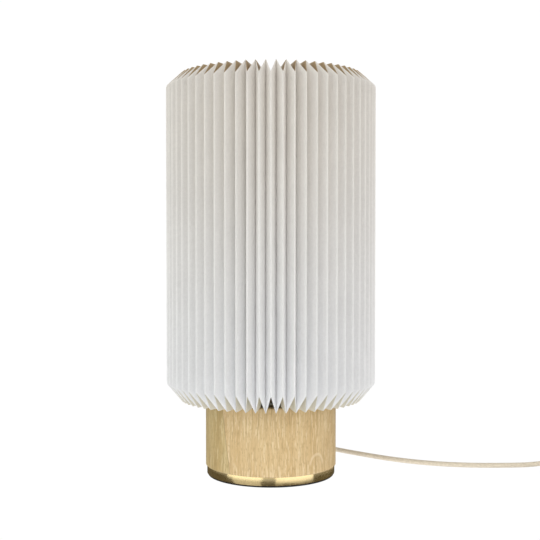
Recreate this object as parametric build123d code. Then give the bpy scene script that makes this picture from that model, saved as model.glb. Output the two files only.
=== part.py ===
# Pleated paper table lamp: a tall folded-paper shade on a low oak drum with a brass rim.
# Millimetres. +Z is up and -Y is the front. The origin is the centre of the foot, on the table.
from build123d import *
import math
import os

os.makedirs("parts", exist_ok=True)

# ---------------------------------------------------------------- driving dimensions

# Fits shared by all parts
slip_gap = 0.05         # radial gap of a pin or a lamp cap in its hole
glue_gap = 0.2          # radial gap of a glued, screwed or threaded joint
loose_gap = 0.3         # gap between pieces that are lifted apart by hand
weld_depth = 0.3        # how far welded wires sink into each other

# Foot, brass rim and ballast
foot_thickness = 2.0
foot_inset = 1.2        # foot edge to the rim's outer face
rim_height = 10.0
rim_inset = 1.5         # rim's outer face to the drum's outer face
rim_wall = 3.0
rim_chamfer = 0.4
flange_thickness = 1.5
flange_width = 3.0      # the drum stands on it
ballast_clearance = 0.3
ballast_screw_radius = 2.0
ballast_head_radius = 4.0
ballast_screw_length = 25.0
ballast_screw_count = 3
ballast_screw_inset = 3.0   # screws inside the flange's edge

# Oak drum and lid
drum_radius = 78.5
drum_wall = 16.5
drum_height = 79.0
drum_edge = 1.2         # bevel of the top edge
drum_chamfer = 0.6      # shadow line above the rim
lid_thickness = 12.0
lid_ledge = 8.5         # how far the lid lies on the drum's wall
collar_height = 5.0
collar_chamfer = 1.0

# Stem
stem_radius = 5.0
stem_bore_radius = 4.2
stem_tail = 3.5         # stem below its nut
washer_radius = 12.0
washer_thickness = 1.5
nut_width = 14.0        # across flats
nut_height = 4.0
cover_radius = 8.0
cover_wall = 1.2
cover_length = 74.5
cover_washer_radius = 11.0
stem_thread = 8.0       # stem inside the lampholder's cap

# Lampholder
holder_radius = 19.5
holder_wall = 1.6
holder_neck_radius = 9.0
holder_dome_height = 14.0
holder_cap_height = 25.0
holder_shell_height = 33.0
holder_lip = 4.0        # inward lip at the top of the shell
insert_height = 10.0    # solid part of the insert, above the cap's room for wires
insert_wall = 2.4
insert_inset = 6.0      # insert's bottom below the joint of cap and shell
insert_step = 2.0       # floor of the insert, above the contact's seat
contact_wall = 0.4
contact_drop = 1.0      # contact's top edge under the shell's lip
strip_thickness = 0.5
strip_width = 6.0
strip_rise = 2.5
strip_reach = 8.0       # foot of the strip, from the axis
strip_tongue = 3.0      # tongue of the strip, past the axis
core_radius = 1.0
core_spread = 8.0       # each core's terminal to the axis
core_depth = 4.0        # core inside the insert
core_start = 2.0        # cores leave the cord's cover above the stem
core_side = 1.5         # each core to the axis, inside the cord
terminal_screw_radius = 1.5

# Bulb
bulb_cap_radius = 13.2
bulb_cap_height = 23.0
bulb_radius = 40.0
bulb_height = 115.5     # contact to the top of the globe
bulb_wall = 1.0
bulb_neck_radius = 14.0
bulb_neck_rise = 3.0    # cap to the neck's narrowest place
bulb_neck_meet = -55.0  # angle of the place where the neck runs into the ball
bulb_cap_wall = 0.35
bulb_insulator_height = 3.5
bulb_tip_radius = 4.5
bulb_tip_height = 1.0

# Pleated shade
pleat_count = 60
shade_radius = 125.5        # outside of the paper at the outer folds
pleat_depth = 18.5          # from there to the paper's centre at the inner folds
paper_thickness = 0.5
shade_height = 388.0        # between the tips of the inner folds
shade_drop = 1.0            # gap between the drum's top and the lowest paper tips
bevel_height = 16.5         # how much the outer folds are shorter at each end
end_hole_radius = 70.0      # opening in each pleated end

# Shade frame
ring_wire = 3.0
arm_wire = 4.0
top_ring_drop = 25.0        # shade top to the top ring
bottom_ring_rise = 26.0     # shade bottom to the bottom ring
leg_count = 3
arm_end_gap = 0.5           # arm's end to the paper's inner folds
arm_bend = 6.0
seat_bore_radius = 50.0
seat_width = 7.0
seat_thickness = 2.5

# Cord and its strain relief
cord_radius = 3.0
cord_corner = 1.06          # corners of the cord's flats, against its radius
cord_exit_height = 24.0
relief_length = 24.0
relief_flange_radius = 7.6
relief_flange_thickness = 2.8
relief_neck_radius = 5.0
relief_root_radius = 5.6
relief_tip_radius = 4.2
relief_ribs = 2
relief_rib_depth = 0.5
spot_face_depth = 3.0
relief_nut_width = 15.0
relief_nut_height = 4.0
inner_bend_radius = 36.0

# Coil of put-away cord
coil_centre = (457.5, -50.0)
coil_outer_radius = 42.5    # centre of the cord in its outermost turn
coil_pitch = 6.6            # from one turn to the next beside it
coil_rise = 6.6             # from the lower layer to the upper one
coil_turns = 5.25
plug_tail = 36.0            # straight cord between the coil and the plug

# Rocker switch in the cord, along X
switch_centre = (425.0, 30.0)
switch_length = 64.0
switch_width = 26.0
switch_height = 20.0
switch_end_width = 11.0
switch_end_height = 15.0
switch_split = 9.5          # the halves meet at the height of the cord
rocker_length = 20.4
rocker_width = 12.0
rocker_depth = 3.2          # rocker below its pin
rocker_pin_radius = 1.25
rocker_pin_length = 19.0
rocker_tilt = 8.0           # each way from level, in degrees
rocker_crest = 3.6          # middle of the rocker above its pin
switch_pin_height = 14.5
switch_screw_spread = 20.0
switch_screw_radius = 1.5
switch_screw_bite = 3.5     # screw in the cover
switch_head_radius = 2.8
switch_head_height = 2.0
switch_head_inset = 1.0
switch_crown = 1.5      # bevel round the top

# Plug, lying flat with its pins towards -X
plug_length = 35.0
plug_width = 35.0
plug_face_width = 26.0
plug_back_width = 13.0
plug_thickness = 14.0
plug_relief_length = 25.0
plug_relief_radius = 5.4
plug_relief_tip_radius = 3.9
plug_ribs = 2
plug_pin_radius = 2.0
plug_pin_length = 19.0
plug_pin_depth = 6.0
plug_pin_spacing = 18.6

# ---------------------------------------------------------------- worked-out places

rim_radius = drum_radius - rim_inset
rim_top = foot_thickness + rim_height
drum_inner_radius = drum_radius - drum_wall
drum_top = rim_top + drum_height
lid_bottom = drum_top - lid_thickness
rebate_radius = drum_inner_radius + lid_ledge
screw_circle = rim_radius - rim_wall - flange_width - ballast_screw_inset
collar_radius = seat_bore_radius - loose_gap
cover_bottom = drum_top + collar_height + washer_thickness
holder_bottom = cover_bottom + cover_length
stem_bottom = lid_bottom - washer_thickness - nut_height - stem_tail
stem_top = holder_bottom + stem_thread
holder_cap_top = holder_bottom + holder_cap_height
holder_top = holder_cap_top + holder_shell_height
insert_bottom = holder_cap_top - insert_inset
insert_seat = insert_bottom + insert_height
terminal_height = insert_bottom + core_depth - terminal_screw_radius
strip_top = insert_seat + strip_rise
contact_inner_radius = bulb_cap_radius + slip_gap
contact_outer_radius = contact_inner_radius + contact_wall
contact_top = holder_top - holder_wall - contact_drop
bulb_bottom = strip_top
bulb_top = bulb_bottom + bulb_height
globe_centre = bulb_top - bulb_radius
bulb_cap_bottom = bulb_bottom + bulb_tip_height + bulb_insulator_height
bulb_cap_top = bulb_cap_bottom + bulb_cap_height
shade_bottom = drum_top + shade_drop
shade_top = shade_bottom + shade_height
half_pleat = math.pi / pleat_count
fold_inner_radius = shade_radius - pleat_depth
outer_lean = math.atan2(
    fold_inner_radius * math.sin(half_pleat),
    shade_radius - fold_inner_radius * math.cos(half_pleat),
)
outer_fold_inside = shade_radius - paper_thickness / math.sin(outer_lean)
fold_outer_radius = (shade_radius + outer_fold_inside) / 2
inner_lean = math.atan2(
    fold_outer_radius * math.sin(half_pleat),
    fold_outer_radius * math.cos(half_pleat) - fold_inner_radius,
)
shade_inside_radius = fold_inner_radius - paper_thickness / 2 / math.sin(inner_lean)
inner_fold_outside = 2 * fold_inner_radius - shade_inside_radius
ring_radius = shade_inside_radius - loose_gap - ring_wire / 2
top_ring_height = shade_top - top_ring_drop
bottom_ring_height = shade_bottom + bottom_ring_rise
seat_top = drum_top + seat_thickness
spot_face = math.sqrt(drum_radius**2 - relief_flange_radius**2) - spot_face_depth
relief_tip = spot_face + relief_flange_thickness + relief_length
cord_level = cord_radius * cord_corner     # centre of the cord where it lies on the table
relief_bore_radius = cord_level + slip_gap
coil_start = (coil_centre[0] + coil_outer_radius, coil_centre[1])
coil_end = (coil_centre[0], coil_centre[1] - coil_outer_radius)
plug_back = coil_end[0] - plug_tail
plug_middle = plug_thickness / 2

# The cord's route, as points of its centre line
cord_run_points = [
    (0, relief_tip, cord_exit_height),
    (0, 114, cord_exit_height),
    (6, 133, 21.5),
    (21, 147, 15.5),
    (41, 151, 9.0),
    (61, 144, 4.2),
    (87, 119, cord_level),
    (119, 89, cord_level),
    (156, 58, cord_level),
    (197, 36, cord_level),
    (241, 25, cord_level),
    (285, 24, cord_level),
    (329, 28, cord_level),
    (364, switch_centre[1], switch_split),
    (switch_centre[0] - switch_length / 2, switch_centre[1], switch_split),
]
cord_link_points = [
    (switch_centre[0] + switch_length / 2, switch_centre[1], switch_split),
    (471, switch_centre[1], switch_split),
    (484, 24.5, 8.5),
    (494.5, 14, 6.7),
    (coil_start[0], 0, 4.6),
    (coil_start[0], -20, cord_level),
    (coil_start[0], coil_start[1] + 2 * cord_radius, cord_level),
]
cord_tail_points = [
    (coil_end[0] - 2 * cord_radius, coil_end[1], cord_level + coil_rise),
    (coil_end[0] - 2 * cord_radius - 10, coil_end[1], cord_level + coil_rise),
    (plug_back + 10, coil_end[1], plug_middle),
    (plug_back, coil_end[1], plug_middle),
]


# ---------------------------------------------------------------- shared shapes

def disc(radius, bottom, top):
    return Pos(0, 0, bottom) * Cylinder(radius, top - bottom, align=(Align.CENTER, Align.CENTER, Align.MIN))


def tube(outer, inner, bottom, top):
    return disc(outer, bottom, top) - disc(inner, bottom - 1, top + 1)


def block(length, width, bottom, top):
    middle = (bottom + top) / 2
    return Pos(0, 0, middle) * Box(length, width, top - bottom)


def turned(*points):
    """A solid turned round the Z axis from its half section, as (radius, height) points."""
    outline = Polyline(*points, close=True)
    return revolve(Plane.XZ * make_face(outline), Axis.Z)


def along_y(shape):
    """Turns a shape made along +Z so that it points along +Y."""
    return Rot(-90, 0, 0) * shape


def hex_nut(width, bore, bottom, height):
    blank = extrude(RegularPolygon(width / 2, 6, major_radius=False), height)
    return Pos(0, 0, bottom) * blank - disc(bore, bottom - 1, bottom + height + 1)


def bent_wire(radius, path):
    """A wire or cord with eight flats, two of them level, and the area of a round one."""
    heading = path % 0
    upright = abs(heading.Z) > 0.999
    level = Vector(1, 0, 0) if upright else Vector(0, 0, 1).cross(heading)
    section = Plane(origin=path @ 0, x_dir=level, z_dir=heading) * eight_flats(radius)
    return sweep(section, path=path)


def eight_flats(radius):
    corner = radius * math.sqrt(math.pi / (8 * math.sin(math.pi / 8) * math.cos(math.pi / 8)))
    return RegularPolygon(corner, 8, rotation=22.5)


def bend_radii(points):
    """The largest bend that the two runs at each corner leave room for."""
    radii = []
    for before, corner, after in zip(points, points[1:], points[2:]):
        run_in = Vector(*corner) - Vector(*before)
        run_out = Vector(*after) - Vector(*corner)
        half_turn = math.radians(run_in.get_angle(run_out)) / 2
        radii.append(0.45 * min(run_in.length, run_out.length) / math.tan(half_turn))
    return radii


def cord_tube(name, points):
    radii = bend_radii(points)
    path = FilletPolyline(*points, radius=radii)
    body = bent_wire(cord_radius, path)
    ratio = body.volume / (math.pi * cord_radius**2 * path.length)
    bends = ", ".join(f"{radius:.0f}" for radius in radii)
    print(f"{name}: {path.length:.1f} mm, radii {bends}, volume {ratio:.4f}")
    return body


# ---------------------------------------------------------------- base

def screw_places():
    """The ballast screws, clear of the cord's hole at the back."""
    first = 90 + 180 / ballast_screw_count
    return list(PolarLocations(screw_circle, ballast_screw_count, start_angle=first))


def make_foot_pad():
    return disc(rim_radius - foot_inset, 0, foot_thickness)


def make_brass_rim():
    inner = rim_radius - rim_wall
    return turned(
        (rim_radius - rim_chamfer, foot_thickness),
        (rim_radius, foot_thickness + rim_chamfer),
        (rim_radius, rim_top),
        (inner - flange_width, rim_top),
        (inner - flange_width, rim_top - flange_thickness),
        (inner, rim_top - flange_thickness),
        (inner, foot_thickness),
    )


def make_ballast_disc():
    plate_top = rim_top - flange_thickness
    plate = disc(rim_radius - rim_wall - ballast_clearance, foot_thickness, plate_top)
    for place in screw_places():
        plate -= place * disc(ballast_screw_radius + glue_gap, 0, plate_top + 1)
        plate -= place * countersink(ballast_head_radius + glue_gap, ballast_screw_radius + glue_gap)
    return plate


def countersink(head, shank):
    """The cone of a flat screw head, its face level with the foot's top."""
    end = foot_thickness + head - shank
    return turned((0, foot_thickness), (head, foot_thickness), (shank, end), (0, end))


def make_ballast_screws():
    end = foot_thickness + ballast_screw_length
    cone = ballast_head_radius - ballast_screw_radius
    screw = turned(
        (0, foot_thickness),
        (ballast_head_radius, foot_thickness),
        (ballast_screw_radius, foot_thickness + cone),
        (ballast_screw_radius, end),
        (0, end),
    )
    return [place * screw for place in screw_places()]


def make_oak_drum():
    drum = turned(
        (drum_radius - drum_chamfer, rim_top),
        (drum_radius, rim_top + drum_chamfer),
        (drum_radius, drum_top - drum_edge),
        (drum_radius - drum_edge, drum_top),
        (rebate_radius, drum_top),
        (rebate_radius, lid_bottom),
        (drum_inner_radius, lid_bottom),
        (drum_inner_radius, rim_top),
    )
    screw_end = foot_thickness + ballast_screw_length + 1
    for place in screw_places():
        drum -= place * disc(ballast_screw_radius + slip_gap, rim_top - 1, screw_end)
    hole = disc(relief_neck_radius + glue_gap, 0, drum_radius)
    seat = disc(relief_flange_radius + glue_gap, spot_face, drum_radius)
    return drum - Pos(0, 0, cord_exit_height) * along_y(hole + seat)


def make_oak_lid():
    lid = disc(rebate_radius - glue_gap, lid_bottom, drum_top)
    return lid - disc(stem_radius + glue_gap, lid_bottom - 1, drum_top + 1)


def make_locating_collar():
    top = drum_top + collar_height
    return turned(
        (stem_radius + glue_gap, drum_top),
        (collar_radius, drum_top),
        (collar_radius, top - collar_chamfer),
        (collar_radius - collar_chamfer, top),
        (stem_radius + glue_gap, top),
    )


def make_stem_tube():
    return tube(stem_radius, stem_bore_radius, stem_bottom, stem_top)


def make_stem_washer():
    return tube(washer_radius, stem_radius + glue_gap, lid_bottom - washer_thickness, lid_bottom)


def make_stem_nut():
    bottom = lid_bottom - washer_thickness - nut_height
    return hex_nut(nut_width, stem_radius + slip_gap, bottom, nut_height)


def make_cover_washer():
    return tube(cover_washer_radius, stem_radius + glue_gap, cover_bottom - washer_thickness, cover_bottom)


def make_cover_tube():
    return tube(cover_radius, cover_radius - cover_wall, cover_bottom, holder_bottom)


# ---------------------------------------------------------------- strain relief at the back

def tapered_ribs(start, length, root, tip, ribs, depth):
    """Half section of a tapered, grooved sleeve, from its root to its tip."""
    step = length / (2 * ribs + 1)
    outline = []
    for k in range(2 * ribs + 1):
        radius = root + (tip - root) * k / (2 * ribs) - (depth if k % 2 else 0)
        outline += [(radius, start + k * step), (radius, start + (k + 1) * step)]
    return outline


def make_strain_relief():
    flange_top = spot_face + relief_flange_thickness
    neck_start = drum_inner_radius - relief_nut_height - 2
    outline = [
        (relief_bore_radius, neck_start),
        (relief_neck_radius, neck_start),
        (relief_neck_radius, spot_face),
        (relief_flange_radius, spot_face),
        (relief_flange_radius, flange_top),
    ]
    outline += tapered_ribs(
        flange_top, relief_length, relief_root_radius, relief_tip_radius, relief_ribs, relief_rib_depth
    )
    outline += [(relief_bore_radius, relief_tip)]
    return Pos(0, 0, cord_exit_height) * along_y(turned(*outline))


def make_relief_nut():
    corner = relief_nut_width / 2 / math.cos(math.pi / 6)
    wall = math.sqrt(drum_inner_radius**2 - corner**2) - slip_gap
    bottom = wall - relief_nut_height
    nut = hex_nut(relief_nut_width, relief_neck_radius + slip_gap, bottom, relief_nut_height)
    return Pos(0, 0, cord_exit_height) * along_y(nut)


# ---------------------------------------------------------------- lampholder

def make_holder_cap():
    shoulder = holder_bottom + holder_dome_height
    inside = holder_radius - holder_wall
    return turned(
        (stem_radius + slip_gap, holder_bottom),
        (holder_neck_radius, holder_bottom),
        (holder_neck_radius + 1.5, holder_bottom + 4),
        (holder_radius - 3, shoulder - 4),
        (holder_radius, shoulder),
        (holder_radius, holder_cap_top),
        (inside, holder_cap_top),
        (inside, shoulder + 0.5),
        (stem_radius + slip_gap + 1.5, stem_top),
        (stem_radius + slip_gap, stem_top),
    )


def make_holder_shell():
    inside = holder_radius - holder_wall
    lip = holder_radius - holder_lip
    return turned(
        (holder_radius, holder_cap_top),
        (holder_radius, holder_top - 1),
        (holder_radius - 1, holder_top),
        (lip, holder_top),
        (lip, holder_top - holder_wall),
        (inside, holder_top - holder_wall),
        (inside, holder_cap_top),
    )


def make_holder_insert():
    outer = holder_radius - holder_wall - glue_gap
    inner = contact_outer_radius + glue_gap
    body = turned(
        (0, insert_bottom),
        (outer, insert_bottom),
        (outer, contact_top),
        (max(inner, outer - insert_wall), contact_top),
        (max(inner, outer - insert_wall), insert_seat + insert_step),
        (inner, insert_seat + insert_step),
        (inner, insert_seat),
        (0, insert_seat),
    )
    core_hole = disc(core_radius + glue_gap, insert_bottom - 1, insert_bottom + core_depth)
    for side in (-1, 1):
        body -= Pos(side * core_spread, 0, 0) * core_hole
        room = disc(terminal_screw_radius + glue_gap, core_spread, holder_radius)
        body -= Pos(0, 0, terminal_height) * Rot(0, 90 * side, 0) * room
    return body


def make_terminal_screws():
    """Headless screws that reach in from the insert's side and pinch the cores."""
    end = holder_radius - holder_wall - 2 * glue_gap
    screw = disc(terminal_screw_radius, core_spread + core_radius, end)
    return [Pos(0, 0, terminal_height) * Rot(0, 90 * side, 0) * screw for side in (-1, 1)]


def make_screw_contact():
    return tube(contact_outer_radius, contact_inner_radius, insert_seat, contact_top)


def make_centre_contact():
    """A sprung strip: a foot on the insert, a slope and a raised tongue under the bulb."""
    outline = Polyline(
        (strip_reach, insert_seat),
        (strip_reach, insert_seat + strip_thickness),
        (5, insert_seat + strip_thickness),
        (2.5, strip_top),
        (-strip_tongue, strip_top),
        (-strip_tongue, strip_top - strip_thickness),
        (2.2, strip_top - strip_thickness),
        (4.7, insert_seat),
        close=True,
    )
    return extrude(Plane.XZ * make_face(outline), strip_width / 2, both=True)


def make_inner_cord():
    path = FilletPolyline(
        (0, relief_tip, cord_exit_height),
        (0, 0, cord_exit_height),
        (0, 0, stem_top + core_start),
        radius=inner_bend_radius,
    )
    return bent_wire(cord_radius, path)


def make_core(side):
    start = stem_top + core_start
    bend = (insert_bottom - start) / 3
    path = FilletPolyline(
        (side * core_side, 0, start),
        (side * core_side, 0, start + bend),
        (side * core_spread, 0, start + 2 * bend),
        (side * core_spread, 0, insert_bottom + core_depth - 0.2),
        radius=1.5,
    )
    return bent_wire(core_radius, path)


# ---------------------------------------------------------------- bulb

def make_bulb_globe():
    """Opal glass: a ball drawn down into a neck that is cemented into the cap, with an even wall."""
    plug = bulb_cap_radius - bulb_cap_wall - glue_gap
    neck_top = bulb_cap_top + bulb_neck_rise

    def on_ball(radius, angle):
        return radius * math.cos(math.radians(angle)), globe_centre + radius * math.sin(math.radians(angle))

    joint = on_ball(bulb_radius, bulb_neck_meet)
    crown = on_ball(bulb_radius, 90)
    bands = 7
    # inside, where nothing shows, the wall is drawn in straight bands
    inside = [
        on_ball(bulb_radius - bulb_wall, 90 - (90 - bulb_neck_meet) * k / bands) for k in range(bands + 1)
    ]
    inside += [
        (bulb_neck_radius - bulb_wall, neck_top),
        (plug - bulb_wall, bulb_cap_top - 4),
        (plug, bulb_cap_top - 4),
        (plug, bulb_cap_top + 0.5),
        (bulb_neck_radius, neck_top),
    ]
    outline = (
        CenterArc((0, globe_centre), bulb_radius, bulb_neck_meet, 90 - bulb_neck_meet)
        + Polyline(crown, *inside, joint)
    )
    return revolve(Plane.XZ * make_face(outline), Axis.Z)


def make_bulb_cap():
    inside = bulb_cap_radius - bulb_cap_wall
    return turned(
        (bulb_cap_radius - 2.5, bulb_cap_bottom),
        (bulb_cap_radius - 0.8, bulb_cap_bottom + 1.5),
        (bulb_cap_radius, bulb_cap_bottom + 3),
        (bulb_cap_radius, bulb_cap_top),
        (inside, bulb_cap_top),
        (inside, bulb_cap_bottom + 3.2),
        (inside - 0.8, bulb_cap_bottom + 1.8),
        (bulb_cap_radius - 2.5, bulb_cap_bottom + 0.5),
    )


def make_bulb_insulator():
    return turned(
        (0, bulb_bottom + bulb_tip_height),
        (bulb_tip_radius + 0.5, bulb_bottom + bulb_tip_height),
        (bulb_cap_radius - 2.5, bulb_cap_bottom),
        (0, bulb_cap_bottom),
    )


def make_bulb_contact():
    tip = disc(bulb_tip_radius, bulb_bottom, bulb_bottom + bulb_tip_height)
    return chamfer(tip.edges().group_by(Axis.Z)[0], 0.4)


# ---------------------------------------------------------------- pleated shade

def end_slope(outer_fold):
    """How steeply a fold line runs down, going inwards, beyond its crease: the sheet isn't stretched."""
    if outer_fold:
        reach = shade_radius - inner_fold_outside * math.cos(half_pleat)
    else:
        reach = shade_radius * math.cos(half_pleat) - inner_fold_outside
    return math.tan(math.pi / 2 - 2 * math.atan2(bevel_height, reach))


def paper_drop(spacing, rise, reach, slope):
    """The paper's thickness measured straight down through one steep face of a pleated end."""
    return paper_thickness * math.hypot(spacing * slope, rise + reach * slope, spacing) / spacing


def fold_line(outer_fold, inside):
    """A fold of the sheet from the upper opening to the lower one, as (radius, height) points."""
    radius = shade_radius if outer_fold else inner_fold_outside
    level = shade_top - bevel_height if outer_fold else shade_top
    slope = end_slope(outer_fold)
    crease_radius, crease_drop, edge_drop = radius, 0, 0
    if inside:
        crease_radius = outer_fold_inside if outer_fold else shade_inside_radius
        pleat = shade_radius - inner_fold_outside
        side = shade_radius * math.sin(half_pleat)
        crease_drop = paper_drop(side, bevel_height, pleat, slope)
        edge_side = end_hole_radius * math.sin(half_pleat)
        edge_drop = paper_drop(edge_side, math.hypot(bevel_height, side), 0, slope)
    edge = (end_hole_radius, level - slope * (radius - end_hole_radius) - edge_drop)
    crease = (crease_radius, level - slope * (radius - crease_radius) - crease_drop)
    lower = [(distance, shade_bottom + shade_top - height) for distance, height in (crease, edge)]
    return [edge, crease, *lower]


def sheet_skin(inside):
    """All fold lines of one face of the paper, in turn; an outer fold is straight ahead, at -Y."""
    skin = []
    for k in range(2 * pleat_count):
        angle = -math.pi / 2 + half_pleat * k
        line = fold_line(k % 2 == 0, inside)
        skin.append([(r * math.cos(angle), r * math.sin(angle), height) for r, height in line])
    return skin


def flat(*corners):
    return Face(Wire.make_polygon([Vector(*corner) for corner in corners]))


def make_pleated_shade():
    """One folded sheet: an upright wall whose pleats are folded back inwards at both ends."""
    skins = [sheet_skin(False), sheet_skin(True)]
    faces = []
    for k in range(2 * pleat_count):
        following = (k + 1) % (2 * pleat_count)
        for skin in skins:
            outer, inner = skin[k], skin[following]
            if k % 2:
                outer, inner = inner, outer
            faces.append(flat(outer[1], outer[2], inner[2], inner[1]))
            for edge, crease in ((0, 1), (3, 2)):
                faces.append(flat(outer[crease], inner[crease], inner[edge]))
                faces.append(flat(outer[crease], inner[edge], outer[edge]))
        for edge in (0, 3):
            outside, inside = [(skin[k][edge], skin[following][edge]) for skin in skins]
            faces.append(flat(outside[0], outside[1], inside[1], inside[0]))
    return Solid(Shell(faces))


def wire_ring(height):
    return Pos(0, 0, height) * revolve(Plane.XZ * Pos(ring_radius, 0) * eight_flats(ring_wire / 2), Axis.Z)


def leg_places():
    """The frame's three legs, one at the back."""
    return [Rot(0, 0, 90 + 360 / leg_count * k) for k in range(leg_count)]


def arm_height():
    """The arms lie on the bottom ring, clear above the pleated end."""
    return bottom_ring_height + ring_wire / 2 + arm_wire / 2 - weld_depth


def make_shade_struts():
    low = arm_height() + arm_wire / 2 - weld_depth
    high = top_ring_height - ring_wire / 2 + weld_depth
    strut = Pos(ring_radius, 0, 0) * disc(ring_wire / 2, low, high)
    return [place * strut for place in leg_places()]


def make_shade_arms():
    """Each arm lies on the seat ring, rises through the opening and runs out over the bottom ring."""
    lying = seat_top + arm_wire / 2 - weld_depth
    rise = seat_bore_radius + seat_width + 2
    path = FilletPolyline(
        (seat_bore_radius + 1, 0, lying),
        (rise, 0, lying),
        (rise, 0, arm_height()),
        (shade_inside_radius - arm_end_gap, 0, arm_height()),
        radius=arm_bend,
    )
    arm = bent_wire(arm_wire / 2, path)
    return [place * arm for place in leg_places()]


def make_seat_ring():
    return tube(seat_bore_radius + seat_width, seat_bore_radius, drum_top, seat_top)


# ---------------------------------------------------------------- coil of put-away cord

def coil_point(turned_by):
    """A point of the coil after so many turns: in along the lower layer, up, out along the upper."""
    radius = coil_outer_radius - coil_pitch * min(turned_by, coil_turns - turned_by)
    climb_start = coil_turns / 2 - 0.25
    climbed = min(max(turned_by - climb_start, 0), 0.5) * 2
    height = cord_level + coil_rise * (1 - math.cos(math.pi * climbed)) / 2
    angle = -2 * math.pi * turned_by
    x = coil_centre[0] + radius * math.cos(angle)
    y = coil_centre[1] + radius * math.sin(angle)
    return Vector(x, y, height)


def coil_heading(turned_by):
    small = 0.002
    return (coil_point(turned_by + small) - coil_point(turned_by - small)).normalized()


def biarc(start, leaving, end, arriving):
    """Two arcs that meet in one tangent and join start to end."""
    chord = end - start
    both = leaving + arriving
    spread = 2 * (1 - leaving.dot(arriving))
    along = chord.dot(both)
    reach = (math.sqrt(along**2 + spread * chord.dot(chord)) - along) / spread
    tip_in = start + leaving * reach
    tip_out = end - arriving * reach
    middle = (tip_in + tip_out) * 0.5
    crossing = (tip_out - tip_in).normalized()
    return [TangentArc(start, middle, tangent=leaving), TangentArc(middle, end, tangent=crossing)]


def coil_path():
    quarters = round(coil_turns * 4)
    stops = [coil_turns * k / quarters for k in range(quarters + 1)]
    points = [coil_point(stop) for stop in stops]
    ways = [coil_heading(stop) for stop in stops]
    ways[0] = Vector(0, -1, 0)
    ways[-1] = Vector(-1, 0, 0)
    lead = 2 * cord_radius
    edges = [Line(points[0] - ways[0] * lead, points[0])]
    for k in range(quarters):
        edges += biarc(points[k], ways[k], points[k + 1], ways[k + 1])
    edges.append(Line(points[-1], points[-1] + ways[-1] * lead))
    return Wire(edges)


def least_gap(path):
    """The smallest gap between turns, measured on points a few millimetres apart along the cord."""
    count = round(path.length / 3)
    points = [path.position_at(k / count) for k in range(count + 1)]
    apart = round(coil_outer_radius / 3)
    return min((a - b).length for i, a in enumerate(points) for b in points[i + apart:]) - 2 * cord_radius


def make_cord_coil():
    path = coil_path()
    body = bent_wire(cord_radius, path)
    ratio = body.volume / (math.pi * cord_radius**2 * path.length)
    print(f"cord_coil: {path.length:.1f} mm, least gap {least_gap(path):.2f} mm, volume {ratio:.4f}")
    return body


# ---------------------------------------------------------------- rocker switch in the cord

def switch_blank():
    """The closed switch body: a lozenge seen from above, with an arched top."""
    half = switch_length / 2
    end = switch_end_width / 2
    plan = (
        ThreePointArc((-half, end), (0, switch_width / 2), (half, end))
        + Line((half, end), (half, -end))
        + ThreePointArc((half, -end), (0, -switch_width / 2), (-half, -end))
        + Line((-half, -end), (-half, end))
    )
    side = (
        Line((-half, 0), (half, 0))
        + Line((half, 0), (half, switch_end_height))
        + ThreePointArc((half, switch_end_height), (0, switch_height), (-half, switch_end_height))
        + Line((-half, switch_end_height), (-half, 0))
    )
    blank = extrude(make_face(plan), switch_height)
    blank &= extrude(Plane.XZ * make_face(side), switch_width, both=True)
    upper = [edge for edge in blank.edges() if edge.center().Z > switch_split]
    crown = [edge for edge in upper if abs(edge.center().X) < half - 1]
    return chamfer(crown, switch_crown)


def switch_place():
    return Pos(switch_centre[0], switch_centre[1], 0)


def rocker_room():
    length = rocker_length + 2 * loose_gap
    width = rocker_width + 2 * loose_gap
    return block(length, width, switch_split, switch_height + 1)


def switch_screw_places():
    return [Pos(side * switch_screw_spread, 0, 0) for side in (-1, 1)]


def pin_along_y(radius, length):
    return Pos(0, 0, switch_pin_height) * along_y(Cylinder(radius, length))


def make_switch_base():
    base = switch_blank() & block(2 * switch_length, 2 * switch_width, 0, switch_split)
    for place in switch_screw_places():
        base -= place * disc(switch_screw_radius + glue_gap, -1, switch_split + 1)
        base -= place * disc(switch_head_radius + glue_gap, -1, switch_head_inset + switch_head_height)
    return switch_place() * base


def make_switch_cover():
    cover = switch_blank() & block(2 * switch_length, 2 * switch_width, switch_split, switch_height)
    cover -= rocker_room()
    cover -= pin_along_y(rocker_pin_radius + slip_gap, rocker_pin_length + 2 * slip_gap)
    for place in switch_screw_places():
        cover -= place * disc(
            switch_screw_radius + slip_gap, switch_split - 1, switch_split + switch_screw_bite + glue_gap
        )
    return switch_place() * cover


def make_switch_screws():
    top = switch_head_inset + switch_head_height
    head = disc(switch_head_radius, switch_head_inset, top)
    screw = head + disc(switch_screw_radius, switch_head_inset, switch_split + switch_screw_bite)
    return [switch_place() * place * screw for place in switch_screw_places()]


def make_switch_rocker():
    """A slice of a drum about the pin, with two flat faces on top that meet in a low crest."""
    reach = rocker_length / 2
    tilt = math.radians(rocker_tilt)
    end_height = rocker_crest + reach * math.tan(tilt)
    outline = Polyline(
        (-reach, -0.6),
        (-reach * 0.5, -rocker_depth),
        (reach * 0.5, -rocker_depth),
        (reach, -0.6),
        (reach, end_height),
        (0, rocker_crest),
        (-reach, end_height),
        close=True,
    )
    body = extrude(Plane.XZ * make_face(outline), rocker_width / 2, both=True)
    body &= along_y(Cylinder(reach, rocker_width))
    body -= along_y(Cylinder(rocker_pin_radius + slip_gap, rocker_width + 2))
    return switch_place() * Pos(0, 0, switch_pin_height) * Rot(0, -rocker_tilt, 0) * body


def make_switch_pin():
    return switch_place() * pin_along_y(rocker_pin_radius, rocker_pin_length)


# ---------------------------------------------------------------- plug

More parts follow.
